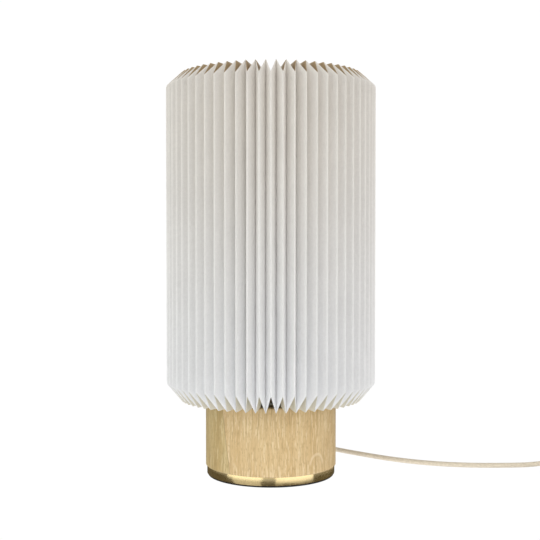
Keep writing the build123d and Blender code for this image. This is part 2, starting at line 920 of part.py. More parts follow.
def make_plug_body():
    """Flat two-pin plug with a grooved relief towards the cord, pins towards -X."""
    half_face = plug_face_width / 2
    half = plug_width / 2
    back = plug_back_width / 2
    plan = make_face(
        Polyline(
            (-plug_length, -half_face),
            (-plug_length + 8, -half),
            (-plug_length + 14, -half),
            (0, -back),
            (0, back),
            (-plug_length + 14, half),
            (-plug_length + 8, half),
            (-plug_length, half_face),
            close=True,
        )
    )
    body = extrude(plan, plug_thickness)
    body = chamfer(body.faces().filter_by(Axis.Z).edges(), 1.5)
    outline = [(0, -3), (plug_relief_radius, -3)]
    outline += tapered_ribs(
        0, plug_relief_length, plug_relief_radius, plug_relief_tip_radius, plug_ribs, relief_rib_depth
    )
    outline += [(0, plug_relief_length)]
    relief = Pos(0, 0, plug_middle) * Rot(0, 90, 0) * turned(*outline)
    body += relief
    hole = Rot(0, -90, 0) * disc(plug_pin_radius + slip_gap, plug_length - plug_pin_depth, plug_length + 1)
    for side in (-1, 1):
        body -= Pos(0, side * plug_pin_spacing / 2, plug_middle) * hole
    return Pos(plug_back - plug_relief_length, coil_end[1], 0) * body


def make_plug_pins():
    pin = disc(plug_pin_radius, plug_length - plug_pin_depth, plug_length + plug_pin_length)
    pin = chamfer(pin.edges().group_by(Axis.Z)[-1], plug_pin_radius * 0.4)
    origin = Pos(plug_back - plug_relief_length, coil_end[1], plug_middle)
    return [origin * Pos(0, side * plug_pin_spacing / 2, 0) * Rot(0, -90, 0) * pin for side in (-1, 1)]


# ---------------------------------------------------------------- all pieces, one file each

pieces = {
    "foot_pad": make_foot_pad(),
    "brass_rim": make_brass_rim(),
    "ballast_disc": make_ballast_disc(),
    "ballast_screws": make_ballast_screws(),
    "oak_drum": make_oak_drum(),
    "oak_lid": make_oak_lid(),
    "locating_collar": make_locating_collar(),
    "stem_tube": make_stem_tube(),
    "stem_washer": make_stem_washer(),
    "stem_nut": make_stem_nut(),
    "cover_washer": make_cover_washer(),
    "cover_tube": make_cover_tube(),
    "strain_relief": make_strain_relief(),
    "relief_nut": make_relief_nut(),
    "holder_cap": make_holder_cap(),
    "holder_shell": make_holder_shell(),
    "holder_insert": make_holder_insert(),
    "screw_contact": make_screw_contact(),
    "centre_contact": make_centre_contact(),
    "terminal_screws": make_terminal_screws(),
    "inner_cord": make_inner_cord(),
    "live_core": make_core(1),
    "neutral_core": make_core(-1),
    "bulb_globe": make_bulb_globe(),
    "bulb_cap": make_bulb_cap(),
    "bulb_insulator": make_bulb_insulator(),
    "bulb_contact": make_bulb_contact(),
    "pleated_shade": make_pleated_shade(),
    "shade_top_ring": wire_ring(top_ring_height),
    "shade_bottom_ring": wire_ring(bottom_ring_height),
    "shade_struts": make_shade_struts(),
    "shade_arms": make_shade_arms(),
    "seat_ring": make_seat_ring(),
    "cord_run": cord_tube("cord_run", cord_run_points),
    "cord_link": cord_tube("cord_link", cord_link_points),
    "cord_tail": cord_tube("cord_tail", cord_tail_points),
    "cord_coil": make_cord_coil(),
    "switch_base": make_switch_base(),
    "switch_cover": make_switch_cover(),
    "switch_rocker": make_switch_rocker(),
    "switch_pin": make_switch_pin(),
    "switch_screws": make_switch_screws(),
    "plug_body": make_plug_body(),
    "plug_pins": make_plug_pins(),
}

for name, piece in pieces.items():
    shape = Compound(children=piece) if isinstance(piece, list) else piece
    export_step(shape, f"parts/{name}.step")
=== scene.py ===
import math

import bmesh
import bpy
from mathutils import Matrix, Vector


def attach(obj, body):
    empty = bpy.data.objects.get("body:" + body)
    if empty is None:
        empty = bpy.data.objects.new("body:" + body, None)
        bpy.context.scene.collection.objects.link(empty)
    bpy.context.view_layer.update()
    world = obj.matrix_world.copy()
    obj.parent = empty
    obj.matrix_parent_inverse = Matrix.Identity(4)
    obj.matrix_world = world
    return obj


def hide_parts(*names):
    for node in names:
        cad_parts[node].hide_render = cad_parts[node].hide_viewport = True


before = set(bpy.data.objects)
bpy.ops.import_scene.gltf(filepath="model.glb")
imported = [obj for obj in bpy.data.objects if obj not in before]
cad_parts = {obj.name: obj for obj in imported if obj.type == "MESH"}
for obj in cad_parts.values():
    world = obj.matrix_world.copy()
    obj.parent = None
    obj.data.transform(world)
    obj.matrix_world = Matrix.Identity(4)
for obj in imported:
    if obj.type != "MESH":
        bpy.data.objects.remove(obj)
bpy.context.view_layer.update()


# ------------------------------------------------------------------ rubber foot
# A thin black rubber disc glued under the brass rim. It is cut from sheet,
# so its faces are flat and matt, with a fine pebbled skin.

class Value:
    """A value on its way through a node tree. A sum written on it is done by Math nodes."""

    def __init__(self, socket):
        self.socket = socket

    def __add__(self, other):
        return calc("ADD", self, other)

    def __sub__(self, other):
        return calc("SUBTRACT", self, other)

    def __rsub__(self, other):
        return calc("SUBTRACT", other, self)

    def __mul__(self, other):
        return calc("MULTIPLY", self, other)

    def __truediv__(self, other):
        return calc("DIVIDE", self, other)

    def __rtruediv__(self, other):
        return calc("DIVIDE", other, self)

    def __abs__(self):
        return calc("ABSOLUTE", self)


def tree_of(*values):
    """The node tree that these values run through."""
    return next(value.socket.id_data for value in values if isinstance(value, Value))


def fill(node, inputs):
    """Sets or links a node's inputs, by name or place. Colours are given as three numbers."""
    for key, value in dict(inputs).items():
        socket = node.inputs[key]
        if isinstance(value, Value):
            node.id_data.links.new(value.socket, socket)
        elif socket.type == "RGBA":
            socket.default_value = (*value, 1.0)
        else:
            socket.default_value = value


def add(tree, kind, inputs=(), **settings):
    """A node with its settings, its inputs filled."""
    made = tree.nodes.new(kind)
    for key, value in settings.items():
        setattr(made, key, value)
    fill(made, inputs)
    return made


def flow(tree, kind, inputs=(), output=0, **settings):
    """What comes out of a new node."""
    return Value(add(tree, kind, inputs, **settings).outputs[output])


def calc(operation, *values):
    """One sum on numbers and values."""
    return flow(tree_of(*values), "ShaderNodeMath", enumerate(values), operation=operation)


def stepped(value, low, high, start=0.0, end=1.0):
    """A smooth rise from start to end as the value goes from low to high."""
    places = {0: value, 1: low, 2: high, 3: start, 4: end}
    return flow(tree_of(value), "ShaderNodeMapRange", places, interpolation_type="SMOOTHSTEP")


def scaled(colour, factor):
    """A colour or a place, multiplied by one number."""
    return flow(tree_of(colour), "ShaderNodeVectorMath", {0: colour, "Scale": factor}, operation="SCALE")


def noise(place, scale, detail, roughness=0.5):
    """Soft random clouds, from 0 to 1."""
    values = {"Vector": place, "Scale": scale, "Detail": detail, "Roughness": roughness}
    return flow(tree_of(place), "ShaderNodeTexNoise", values)


def bumped(height, strength, distance):
    """The slope that a height gives the surface."""
    values = {"Strength": strength, "Distance": distance, "Height": height}
    return flow(tree_of(height), "ShaderNodeBump", values)


def object_place(tree):
    """The place on the object, in metres."""
    return flow(tree, "ShaderNodeTexCoord", output="Object")


def new_group(name, kind, inputs, outputs):
    """An empty node group, and its inputs by name. Each socket is given with its kind."""
    tree = bpy.data.node_groups.new(name, kind)
    for way, sockets in (("INPUT", inputs), ("OUTPUT", outputs)):
        for label, socket in sockets.items():
            tree.interface.new_socket(label, in_out=way, socket_type="NodeSocket" + socket)
    given = tree.nodes.new("NodeGroupInput")
    return tree, {label: Value(given.outputs[label]) for label in inputs}


def skin_group(name, colours, numbers):
    """An empty shader node group for a skin, and its inputs by name."""
    inputs = {**dict.fromkeys(colours, "Color"), **dict.fromkeys(numbers, "Float")}
    outputs = {"Colour": "Color", "Roughness": "Float", "Normal": "Vector"}
    return new_group(name, "ShaderNodeTree", inputs, outputs)


def given_out(tree, colour, roughness, normal):
    """What a skin group puts out; it gives back the finished group."""
    add(tree, "NodeGroupOutput", {"Colour": colour, "Roughness": roughness, "Normal": normal})
    return tree


def covered(surface, group, inputs):
    """A shader takes its colour, roughness and normal from a skin group; it gives back the group's colour."""
    skin = add(surface.id_data, "ShaderNodeGroup", inputs, node_tree=group)
    colour, roughness, normal = map(Value, skin.outputs)
    fill(surface, {"Base Color": colour, "Roughness": roughness, "Normal": normal})
    return colour


def moulded_skin_group():
    """Skin of rubber, plastic, glaze or powder coat: faint cloudy tone, uneven gloss and a fine pebble."""
    tree, given = skin_group("moulded skin", ["Colour"], ["Roughness", "Pebble size", "Pebble depth"])
    place = object_place(tree)
    clouds = noise(place, 90.0, 4.0)
    pebbles = noise(place, 1.0 / given["Pebble size"], 2.0)
    shade = scaled(given["Colour"], stepped(clouds, 0.3, 0.7, 0.90, 1.06))
    rough = given["Roughness"] + stepped(clouds, 0.3, 0.7, -0.05, 0.06)
    return given_out(tree, shade, rough, bumped(pebbles, 0.6, given["Pebble depth"]))


moulded_skin = moulded_skin_group()


def new_material(name):
    material = bpy.data.materials.new(name)
    material.use_nodes = True
    return material, material.node_tree.nodes["Principled BSDF"]


def moulded(name, colour, roughness, pebble_size, pebble_depth):
    """Rubber, plastic, glaze or powder coat, in one colour."""
    material, surface = new_material(name)
    values = {"Roughness": roughness, "Pebble size": pebble_size, "Pebble depth": pebble_depth}
    covered(surface, moulded_skin, {"Colour": colour, **values})
    return material


def sharpened(build, angle):
    """Smooth faces that stay crisp at the edges that turn by more than the angle."""
    build.normal_update()
    for face in build.faces:
        face.smooth = True
    for edge in build.edges:
        crisp = len(edge.link_faces) != 2 or edge.calc_face_angle() > math.radians(angle)
        edge.smooth = not crisp


def placed(name, data):
    """An object in the scene, at the origin."""
    piece = bpy.data.objects.new(name, data)
    bpy.context.scene.collection.objects.link(piece)
    return piece


def made_object(name, build, material):
    mesh = bpy.data.meshes.new(name)
    build.to_mesh(mesh)
    build.free()
    mesh.materials.append(material)
    return placed(name, mesh)


def closed_up(name, build, material, angle=35.0):
    """A closed shape made an object, its faces turned outwards."""
    bmesh.ops.recalc_face_normals(build, faces=build.faces)
    sharpened(build, angle)
    return made_object(name, build, material)


def banded(build, rings):
    """Faces from each ring of points to the next, and from the last to the first. A ring may be one point."""
    steps = max(len(ring) for ring in rings)
    for ring, following in zip(rings, rings[1:] + rings[:1]):
        if len(ring) == len(following) == 1:
            continue
        for k in range(steps):
            spots = ((ring, k), (ring, k + 1), (following, k + 1), (following, k))
            corners = [band[j % len(band)] for band, j in spots]
            build.faces.new(list(dict.fromkeys(corners)))


def turned(name, outline, material, steps=160):
    """A piece off the lathe: a closed half section, as (radius, height) points, carried round Z."""
    build = bmesh.new()
    rings = []
    for radius, height in outline:
        count = steps if radius > 0 else 1
        ring = []
        for k in range(count):
            angle = 2 * math.pi * k / count
            ring.append(build.verts.new((radius * math.cos(angle), radius * math.sin(angle), height)))
        rings.append(ring)
    banded(build, rings)
    return closed_up(name, build, material)


def fitted(piece, body, node):
    """The piece moves with a body and stands for a node, which is hidden."""
    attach(piece, body)
    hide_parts(node)
    return piece


foot_rubber = moulded("foot rubber", (0.012, 0.012, 0.013), 0.75, 0.0006, 0.00004)
foot = turned(
    "foot",
    [(0, 0), (0.0754, 0), (0.0758, 0.0003), (0.0758, 0.0017), (0.0755, 0.002), (0, 0.002)],
    foot_rubber,
    256,
)
fitted(foot, "base", "foot_pad")


# ------------------------------------------------------------------ brass rim
# A band of brass with an inner flange, turned and brushed round its axis, then lacquered.
# The drum stands on the flange, and the steel ballast is held up against it from below.

def parted(place):
    """The three numbers of a place."""
    return [Value(socket) for socket in add(tree_of(place), "ShaderNodeSeparateXYZ", {0: place}).outputs]


def joined(x=0.0, y=0.0, z=0.0):
    """Three numbers as one place."""
    return flow(tree_of(x, y, z), "ShaderNodeCombineXYZ", {"X": x, "Y": y, "Z": z})


def length(place):
    """How far a place is from the middle."""
    return flow(tree_of(place), "ShaderNodeVectorMath", {0: place}, "Value", operation="LENGTH")


def brushed_group():
    """Metal brushed round the Z axis: fine lines at one height each, that spread the light up and down."""
    tree, given = skin_group("brushed round the axis", ["Colour"], ["Roughness", "Line size", "Line depth"])
    place = object_place(tree)
    x, y, z = parted(place)
    finer = 1.0 / given["Line size"]
    lines = noise(joined(length(joined(x, y)) * finer, z * finer, calc("ARCTAN2", y, x)), 1.0, 3.0)
    clouds = noise(place, 45.0, 3.0)
    tone = stepped(lines, 0.3, 0.7, -0.05, 0.05) + stepped(clouds, 0.3, 0.7, 0.97, 1.03)
    uneven = stepped(clouds, 0.3, 0.7, -0.03, 0.04) + stepped(lines, 0.3, 0.7, -0.04, 0.04)
    slope = bumped(lines, 1.0, given["Line depth"])
    return given_out(tree, scaled(given["Colour"], tone), given["Roughness"] + uneven, slope)


brushed_round = brushed_group()


def metal(name, colour, roughness, line_size, line_depth, spread=0.0):
    """Brushed metal. Spread is how much more the highlights widen across the brushed lines."""
    material, surface = new_material(name)
    values = {"Roughness": roughness, "Line size": line_size, "Line depth": line_depth}
    covered(surface, brushed_round, {"Colour": colour, **values})
    fill(surface, {"Metallic": 1.0})
    if spread:
        tangent = flow(surface.id_data, "ShaderNodeTangent", direction_type="RADIAL", axis="Z")
        fill(surface, {"Anisotropic": spread, "Anisotropic Rotation": 0.25, "Tangent": tangent})
    return material


satin_brass = metal("satin brass", (0.92, 0.74, 0.41), 0.19, 0.00016, 0.000001, spread=0.95)
rim_outline = [(0.0766, 0.0020), (0.0769, 0.0021), (0.0770, 0.0024), (0.0770, 0.0117), (0.0769, 0.0119)]
rim_outline += [(0.0767, 0.0120), (0.0710, 0.0120), (0.0710, 0.0105), (0.0740, 0.0105), (0.0740, 0.0020)]
rim = turned("brass-rim", rim_outline, satin_brass, 320)
fitted(rim, "base", "brass_rim")


# ------------------------------------------------------------------ ballast and its screws
# A disc of plain steel inside the rim, so that the tall lamp stands firmly.
# Three countersunk wood screws hold it, and the rim's flange with it, to the drum.

def finish_nodes(material, *nodes):
    """CAD pieces whose shape is right as it is get their own material."""
    for node in nodes:
        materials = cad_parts[node].data.materials
        materials.clear()
        materials.append(material)


ballast_steel = metal("ballast steel", (0.36, 0.36, 0.37), 0.42, 0.0005, 0.00001)
zinc_steel = metal("zinc plated steel", (0.62, 0.63, 0.64), 0.30, 0.0003, 0.000006)
finish_nodes(ballast_steel, "ballast_disc")
finish_nodes(zinc_steel, "ballast_screws")


# ------------------------------------------------------------------ oak drum, lid and collar
# A hollow drum of pale oak, turned, with upright grain in two leaves that meet in a fine joint,
# closed by a glued-in oak lid. A low oak collar on the lid centres the shade. Clear matt oil.

def blended(factor, first, second, way="MIX"):
    """Two colours mixed by a factor."""
    places = {0: factor, 6: first, 7: second}
    tree = tree_of(factor, first, second)
    return flow(tree, "ShaderNodeMix", places, 2, data_type="RGBA", blend_type=way)


def oak_group():
    """Oak, from the place across and along its grain, in metres: growth bands, streaks, pores and flecks."""
    tree, given = skin_group("oak", [], ["Across", "Along", "Leaf", "Arch across", "Arch along"])
    across, along, leaf = given["Across"], given["Along"], given["Leaf"]

    def grain_at(scale_across, scale_along, detail, shift, source):
        at = joined(source * scale_across, along * scale_along, leaf * 7.3 + shift)
        return noise(at, 1.0, detail, 0.6)

    wander = grain_at(14.0, 9.0, 2.0, 11.0, across)
    ripple = grain_at(90.0, 40.0, 2.0, 5.0, across)
    bent = across + ((wander - 0.5) * 0.012 + (ripple - 0.5) * 0.0016)
    bands = grain_at(70.0, 4.0, 2.0, 1.0, bent)
    streaks = grain_at(560.0, 18.0, 3.0, 2.0, bent)
    pores = grain_at(1500.0, 75.0, 2.0, 3.0, bent)
    flecks = grain_at(540.0, 36.0, 2.0, 4.0, bent)
    ticks = grain_at(640.0, 170.0, 1.0, 6.0, bent)

    light, middle, dark = (0.720, 0.540, 0.290), (0.655, 0.468, 0.228), (0.455, 0.300, 0.130)
    fleck_colour, arch_colour = (0.80, 0.64, 0.39), (0.82, 0.66, 0.42)
    pore = stepped(pores, 0.56, 0.68, 0.0, 0.60)
    colour = blended(stepped(bands, 0.35, 0.65), middle, light)
    colour = blended(stepped(streaks, 0.48, 0.66, 0.0, 0.55), colour, dark)
    colour = blended(pore, colour, dark)
    colour = blended(stepped(flecks, 0.53, 0.62, 0.0, 0.85), colour, fleck_colour)
    colour = blended(stepped(ticks, 0.57, 0.66, 0.0, 0.42), colour, dark)

    # one low arch of growth rings, where the cut runs out of a ring, with a fainter dark line inside it
    arch_width, arch_rise = 0.0100, 0.012
    width = (across - given["Arch across"]) / arch_width
    rise = (along - given["Arch along"]) / arch_rise
    reach = calc("SQRT", width * width + rise * rise) + (ripple - 0.5) * 0.25
    upper = stepped(rise, -0.15, 0.35)
    arch = stepped(abs(reach - 1.0), 0.06, 0.24, 0.62, 0.0) * upper
    colour = blended(arch, colour, arch_colour)
    arch = stepped(abs(reach - 0.86), 0.02, 0.14, 0.16, 0.0) * upper
    colour = blended(arch, colour, dark)

    greener = blended(1.0, colour, (0.86, 0.885, 0.80), "MULTIPLY")
    height = stepped(streaks, 0.4, 0.7, 1.0, 0.6) - pore
    rough = pore * 0.25 + 0.52
    return given_out(tree, blended(leaf, colour, greener), rough, bumped(height, 0.5, 0.00012))


oak_grain = oak_group()
drum_radius = 0.0785


def oak_round():
    """Oak bent round the drum: across is the way round, along is up. Two leaves meet at the front left."""
    material, surface = new_material("oak, upright grain")
    tree = surface.id_data
    joint_angle = math.radians(-42.0)
    arch_angle = math.radians(84.5)
    turn = {"Vector": object_place(tree), "Angle": math.pi / 2 - joint_angle}
    x, y, z = parted(flow(tree, "ShaderNodeVectorRotate", turn, rotation_type="Z_AXIS"))
    wobble = noise(joined(3.7, 0.0, z * 26.0), 1.0, 2.0)
    angle = calc("ARCTAN2", y, x)
    beyond = angle + ((wobble - 0.5) * 0.09 + (z - 0.055) * 2.0)
    places = {"Across": angle * drum_radius, "Along": z, "Leaf": stepped(beyond, -0.004, 0.004, 1.0, 0.0)}
    places |= {"Arch across": drum_radius * arch_angle, "Arch along": 0.022}
    colour = covered(surface, oak_grain, places)
    joint = stepped(abs(beyond), 0.002, 0.012, 0.50, 0.0)
    fill(surface, {"Base Color": blended(joint, colour, (0.30, 0.20, 0.09))})
    return material


def oak_board():
    """Oak cut as a board, its grain along X."""
    material, surface = new_material("oak, flat grain")
    x, y, z = parted(object_place(surface.id_data))
    places = {"Across": y + z * 0.7, "Along": x, "Arch across": 0.012, "Arch along": -0.03}
    covered(surface, oak_grain, places)
    return material


def dressed(node, name, material, body, bevel=0.0, angle=30.0):
    """A finer copy of a CAD piece: its facets merged, its curved faces smooth, its edges eased."""
    build = bmesh.new()
    build.from_mesh(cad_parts[node].data)
    bmesh.ops.remove_doubles(build, verts=build.verts, dist=0.000001)
    if bevel:
        flat_angle = math.radians(0.5)
        parts = {"verts": build.verts, "edges": build.edges}
        bmesh.ops.dissolve_limit(build, angle_limit=flat_angle, use_dissolve_boundaries=False, **parts)
    sharpened(build, angle)
    piece = made_object(name, build, material)
    if bevel:
        ease = piece.modifiers.new("eased edges", "BEVEL")
        ease.width = bevel
        ease.segments = 3
        ease.limit_method = "ANGLE"
        ease.angle_limit = math.radians(angle)
    return fitted(piece, body, node)


upright_oak = oak_round()
flat_oak = oak_board()
dressed("oak_drum", "oak-drum", upright_oak, "base")
dressed("oak_lid", "oak-lid", flat_oak, "base")
dressed("locating_collar", "shade-collar", flat_oak, "base")


# ------------------------------------------------------------------ stem
# A threaded steel tube stands in the lid, clamped by a nut and washer from below.
# A plain brass tube on a brass washer covers it up to the lampholder.

finish_nodes(zinc_steel, "stem_tube", "stem_washer", "stem_nut")
dressed("cover_washer", "cover-washer", satin_brass, "base")
holder_bottom = 0.1720
cover_outline = [(0.0068, 0.0975), (0.0078, 0.0975), (0.0080, 0.0977)]
cover_outline += [(0.0080, 0.1718), (0.0078, holder_bottom), (0.0068, holder_bottom)]
cover = turned("cover-tube", cover_outline, satin_brass, 96)
fitted(cover, "base", "cover_tube")


# ------------------------------------------------------------------ lampholder
# A two-part holder in black moulded plastic: a domed cap on the stem and a fluted shell
# screwed to it, round a white porcelain insert with the brass screw contact and centre strip.

def fluted(piece, low, high, count, depth):
    """Shallow upright grooves for the fingers, between two heights, pressed into a round piece."""
    skin_radius, run_out = 0.0190, 0.002
    for vertex in piece.data.vertices:
        x, y, z = vertex.co
        radius = math.hypot(x, y)
        if low <= z <= high and radius > skin_radius:
            ease = min((z - low) / run_out, (high - z) / run_out, 1.0)
            wave = 0.5 - 0.5 * math.cos(count * math.atan2(y, x))
            factor = 1 - depth * ease * wave / radius
            vertex.co = (x * factor, y * factor, z)


black_plastic = moulded("black plastic", (0.018, 0.018, 0.019), 0.42, 0.0005, 0.00001)
holder_radius, bore_radius = 0.0195, 0.0179
cap_top, shell_top = 0.1970, 0.2300
cap_outline = [(0.00505, holder_bottom), (0.0088, holder_bottom), (0.0090, 0.1722)]
cap_outline += [(0.0092, 0.1735), (0.0105, 0.1760)]
for k in range(7):
    swing = math.radians(90 * k / 6)
    cap_outline.append((0.0105 + 0.0090 * math.sin(swing), 0.1860 - 0.0095 * math.cos(swing)))
cap_outline += [(holder_radius, 0.1966), (holder_radius - 0.0004, cap_top), (bore_radius, cap_top)]
cap_outline += [(bore_radius, 0.1865), (0.00655, 0.1800), (0.00505, 0.1800)]
holder_cap = turned("holder-cap", cap_outline, black_plastic)
fitted(holder_cap, "base", "holder_cap")

shell_outline = [(bore_radius, cap_top), (holder_radius - 0.0004, cap_top), (holder_radius, 0.1974)]
shell_outline += [(holder_radius, 0.2000 + 0.0012 * k) for k in range(21)]
shell_outline += [(holder_radius, 0.2290), (holder_radius - 0.0003, 0.2297)]
shell_outline += [(holder_radius - 0.001, shell_top), (0.0158, shell_top)]
shell_outline += [(0.0155, 0.2297), (0.0155, 0.2284), (bore_radius, 0.2284)]
holder_shell = turned("holder-shell", shell_outline, black_plastic, 192)
fluted(holder_shell, low=0.2010, high=0.2250, count=24, depth=0.0007)
fitted(holder_shell, "base", "holder_shell")

porcelain = moulded("glazed porcelain", (0.83, 0.82, 0.79), 0.16, 0.004, 0.00002)
contact_brass = metal("stamped brass", (0.72, 0.54, 0.25), 0.24, 0.0003, 0.000004)
finish_nodes(porcelain, "holder_insert")
finish_nodes(contact_brass, "screw_contact", "centre_contact")
finish_nodes(zinc_steel, "terminal_screws")


# ------------------------------------------------------------------ bulb
# A globe bulb of opal glass, 80 mm across, with a rolled aluminium screw cap,
# a black glass insulator and a soldered brass contact. It unscrews upwards.

def opal(name):
    """Opal glass: a milky body with a glossy skin, very slightly uneven."""
    material, surface = new_material(name)
    clouds = noise(object_place(surface.id_data), 30.0, 3.0)
    colour = blended(stepped(clouds, 0.3, 0.7), (0.86, 0.855, 0.83), (0.90, 0.895, 0.875))
    rough = stepped(clouds, 0.3, 0.7, 0.20, 0.28)
    fill(surface, {"Base Color": colour, "Roughness": rough, "Normal": bumped(clouds, 0.3, 0.0001)})
    fill(surface, {"Coat Weight": 0.4, "Coat Roughness": 0.12})
    return material


opal_glass = opal("opal glass")
globe_centre, globe_radius, glass_wall = 0.279, 0.040, 0.001


def ball(radius):
    """The outline of the ball, from its top down to the neck."""
    outline = [(0, globe_centre + radius)]
    for k in range(1, 37):
        swing = math.radians(90 - 145 * k / 36)
        outline.append((radius * math.cos(swing), globe_centre + radius * math.sin(swing)))
    return outline


globe_outside, globe_inside = ball(globe_radius), ball(globe_radius - glass_wall)
# the ball runs out into the neck in a soft hollow curve
joint_radius, joint_height = globe_outside[-1]
neck_radius, neck_height = 0.0140, 0.2340
control = (0.0150, 0.2395)
for k in range(1, 9):
    t = k / 8
    pull = (1 - t) ** 2, 2 * t * (1 - t), t**2
    radius = pull[0] * joint_radius + pull[1] * control[0] + pull[2] * neck_radius
    height = pull[0] * joint_height + pull[1] * control[1] + pull[2] * neck_height
    globe_outside.append((radius, height))
    globe_inside.append((radius - glass_wall, height))
globe_outside += [(0.01265, 0.2315), (0.01265, 0.2270)]
globe_inside += [(0.01165, 0.2315), (0.01165, 0.2270)]
globe = turned("bulb-globe", globe_outside + globe_inside[::-1], opal_glass, 128)
fitted(globe, "bulb", "bulb_globe")


def rolled_cap(name, material):
    """A thin cap with a rolled screw thread, as a sheet that runs round and up, then back down inside."""
    bottom, top, radius, pitch, depth = 0.2080, 0.2310, 0.0132, 0.0036, 0.00055
    plain_end, run_out, sheet_thickness = 0.0035, 0.002, 0.00035
    rows, steps = 70, 96
    build = bmesh.new()
    grid = []
    for side in (0.0, sheet_thickness):
        for row in range(rows + 1):
            share = row / rows if side == 0 else 1 - row / rows
            height = bottom + (top - bottom) * share
            ring = []
            for k in range(steps):
                angle = 2 * math.pi * k / steps
                inside = min(height - bottom - plain_end, top - plain_end - height)
                ease = max(0.0, min(inside / run_out, 1.0))
                wave = 0.5 + 0.5 * math.cos(2 * math.pi * height / pitch - angle)
                taper = 0.0025 * max(0.0, 1 - (height - bottom) / 0.003) ** 2
                here = radius - depth * ease * wave - taper - side
                ring.append(build.verts.new((here * math.cos(angle), here * math.sin(angle), height)))
            grid.append(ring)
    banded(build, grid)
    return closed_up(name, build, material, 50.0)


cap_aluminium = metal("rolled aluminium", (0.72, 0.72, 0.73), 0.30, 0.0004, 0.000004)
fitted(rolled_cap("bulb-cap", cap_aluminium), "bulb", "bulb_cap")
black_glass = moulded("black glass", (0.010, 0.010, 0.012), 0.12, 0.003, 0.00001)
finish_nodes(black_glass, "bulb_insulator")
finish_nodes(contact_brass, "bulb_contact")


# ------------------------------------------------------------------ pleated shade
# One long sheet of stiff paper, folded into sixty sharp pleats and glued into a ring. At both ends
# the pleats are creased on a bevel and folded back inwards, to an opening for the hand and the light.

def new_tree(name, sizes):
    """A geometry node tree, and its inputs by name. Sizes gives each input's kind of socket."""
    tree, given = new_group(name, "GeometryNodeTree", sizes, {"Geometry": "Geometry"})
    tree.is_modifier = True
    return tree, given


def finished_tree(tree, geometry, material):
    """The end of each tree: real geometry with smooth faces and its material."""
    for kind in ("GeometryNodeRealizeInstances", "GeometryNodeSetShadeSmooth"):
        geometry = flow(tree, kind, {"Geometry": geometry})
    painted = flow(tree, "GeometryNodeSetMaterial", {"Geometry": geometry, "Material": material})
    add(tree, "NodeGroupOutput", {"Geometry": painted})
    return tree


def mesh_of(source):
    """The plain mesh that an object comes to, with what its modifiers do."""
    graph = bpy.context.evaluated_depsgraph_get()
    return bpy.data.meshes.new_from_object(source.evaluated_get(graph), depsgraph=graph)


def grown(name, tree, values, start=None):
    """Runs a geometry node tree with these values and keeps the result as a plain mesh."""
    source = placed(name + "-source", start or bpy.data.meshes.new(name))
    modifier = source.modifiers.new("grown", "NODES")
    modifier.node_group = tree
    for item in tree.interface.items_tree:
        if item.in_out == "INPUT" and item.name in values:
            modifier[item.identifier] = values[item.name]
    mesh = mesh_of(source)
    source.modifiers.remove(modifier)
    bpy.data.objects.remove(source)
    mesh.name = name
    return placed(name, mesh)


def stretched(place, by):
    """A place with each of its numbers multiplied by its own."""
    return flow(tree_of(place), "ShaderNodeVectorMath", {0: place, 1: by}, operation="MULTIPLY")


def between(share, first, second):
    """A share of the way from the first value to the second."""
    return calc("ADD", first, share * (second - first))


def clamped(value):
    return flow(tree_of(value), "ShaderNodeClamp", {0: value})


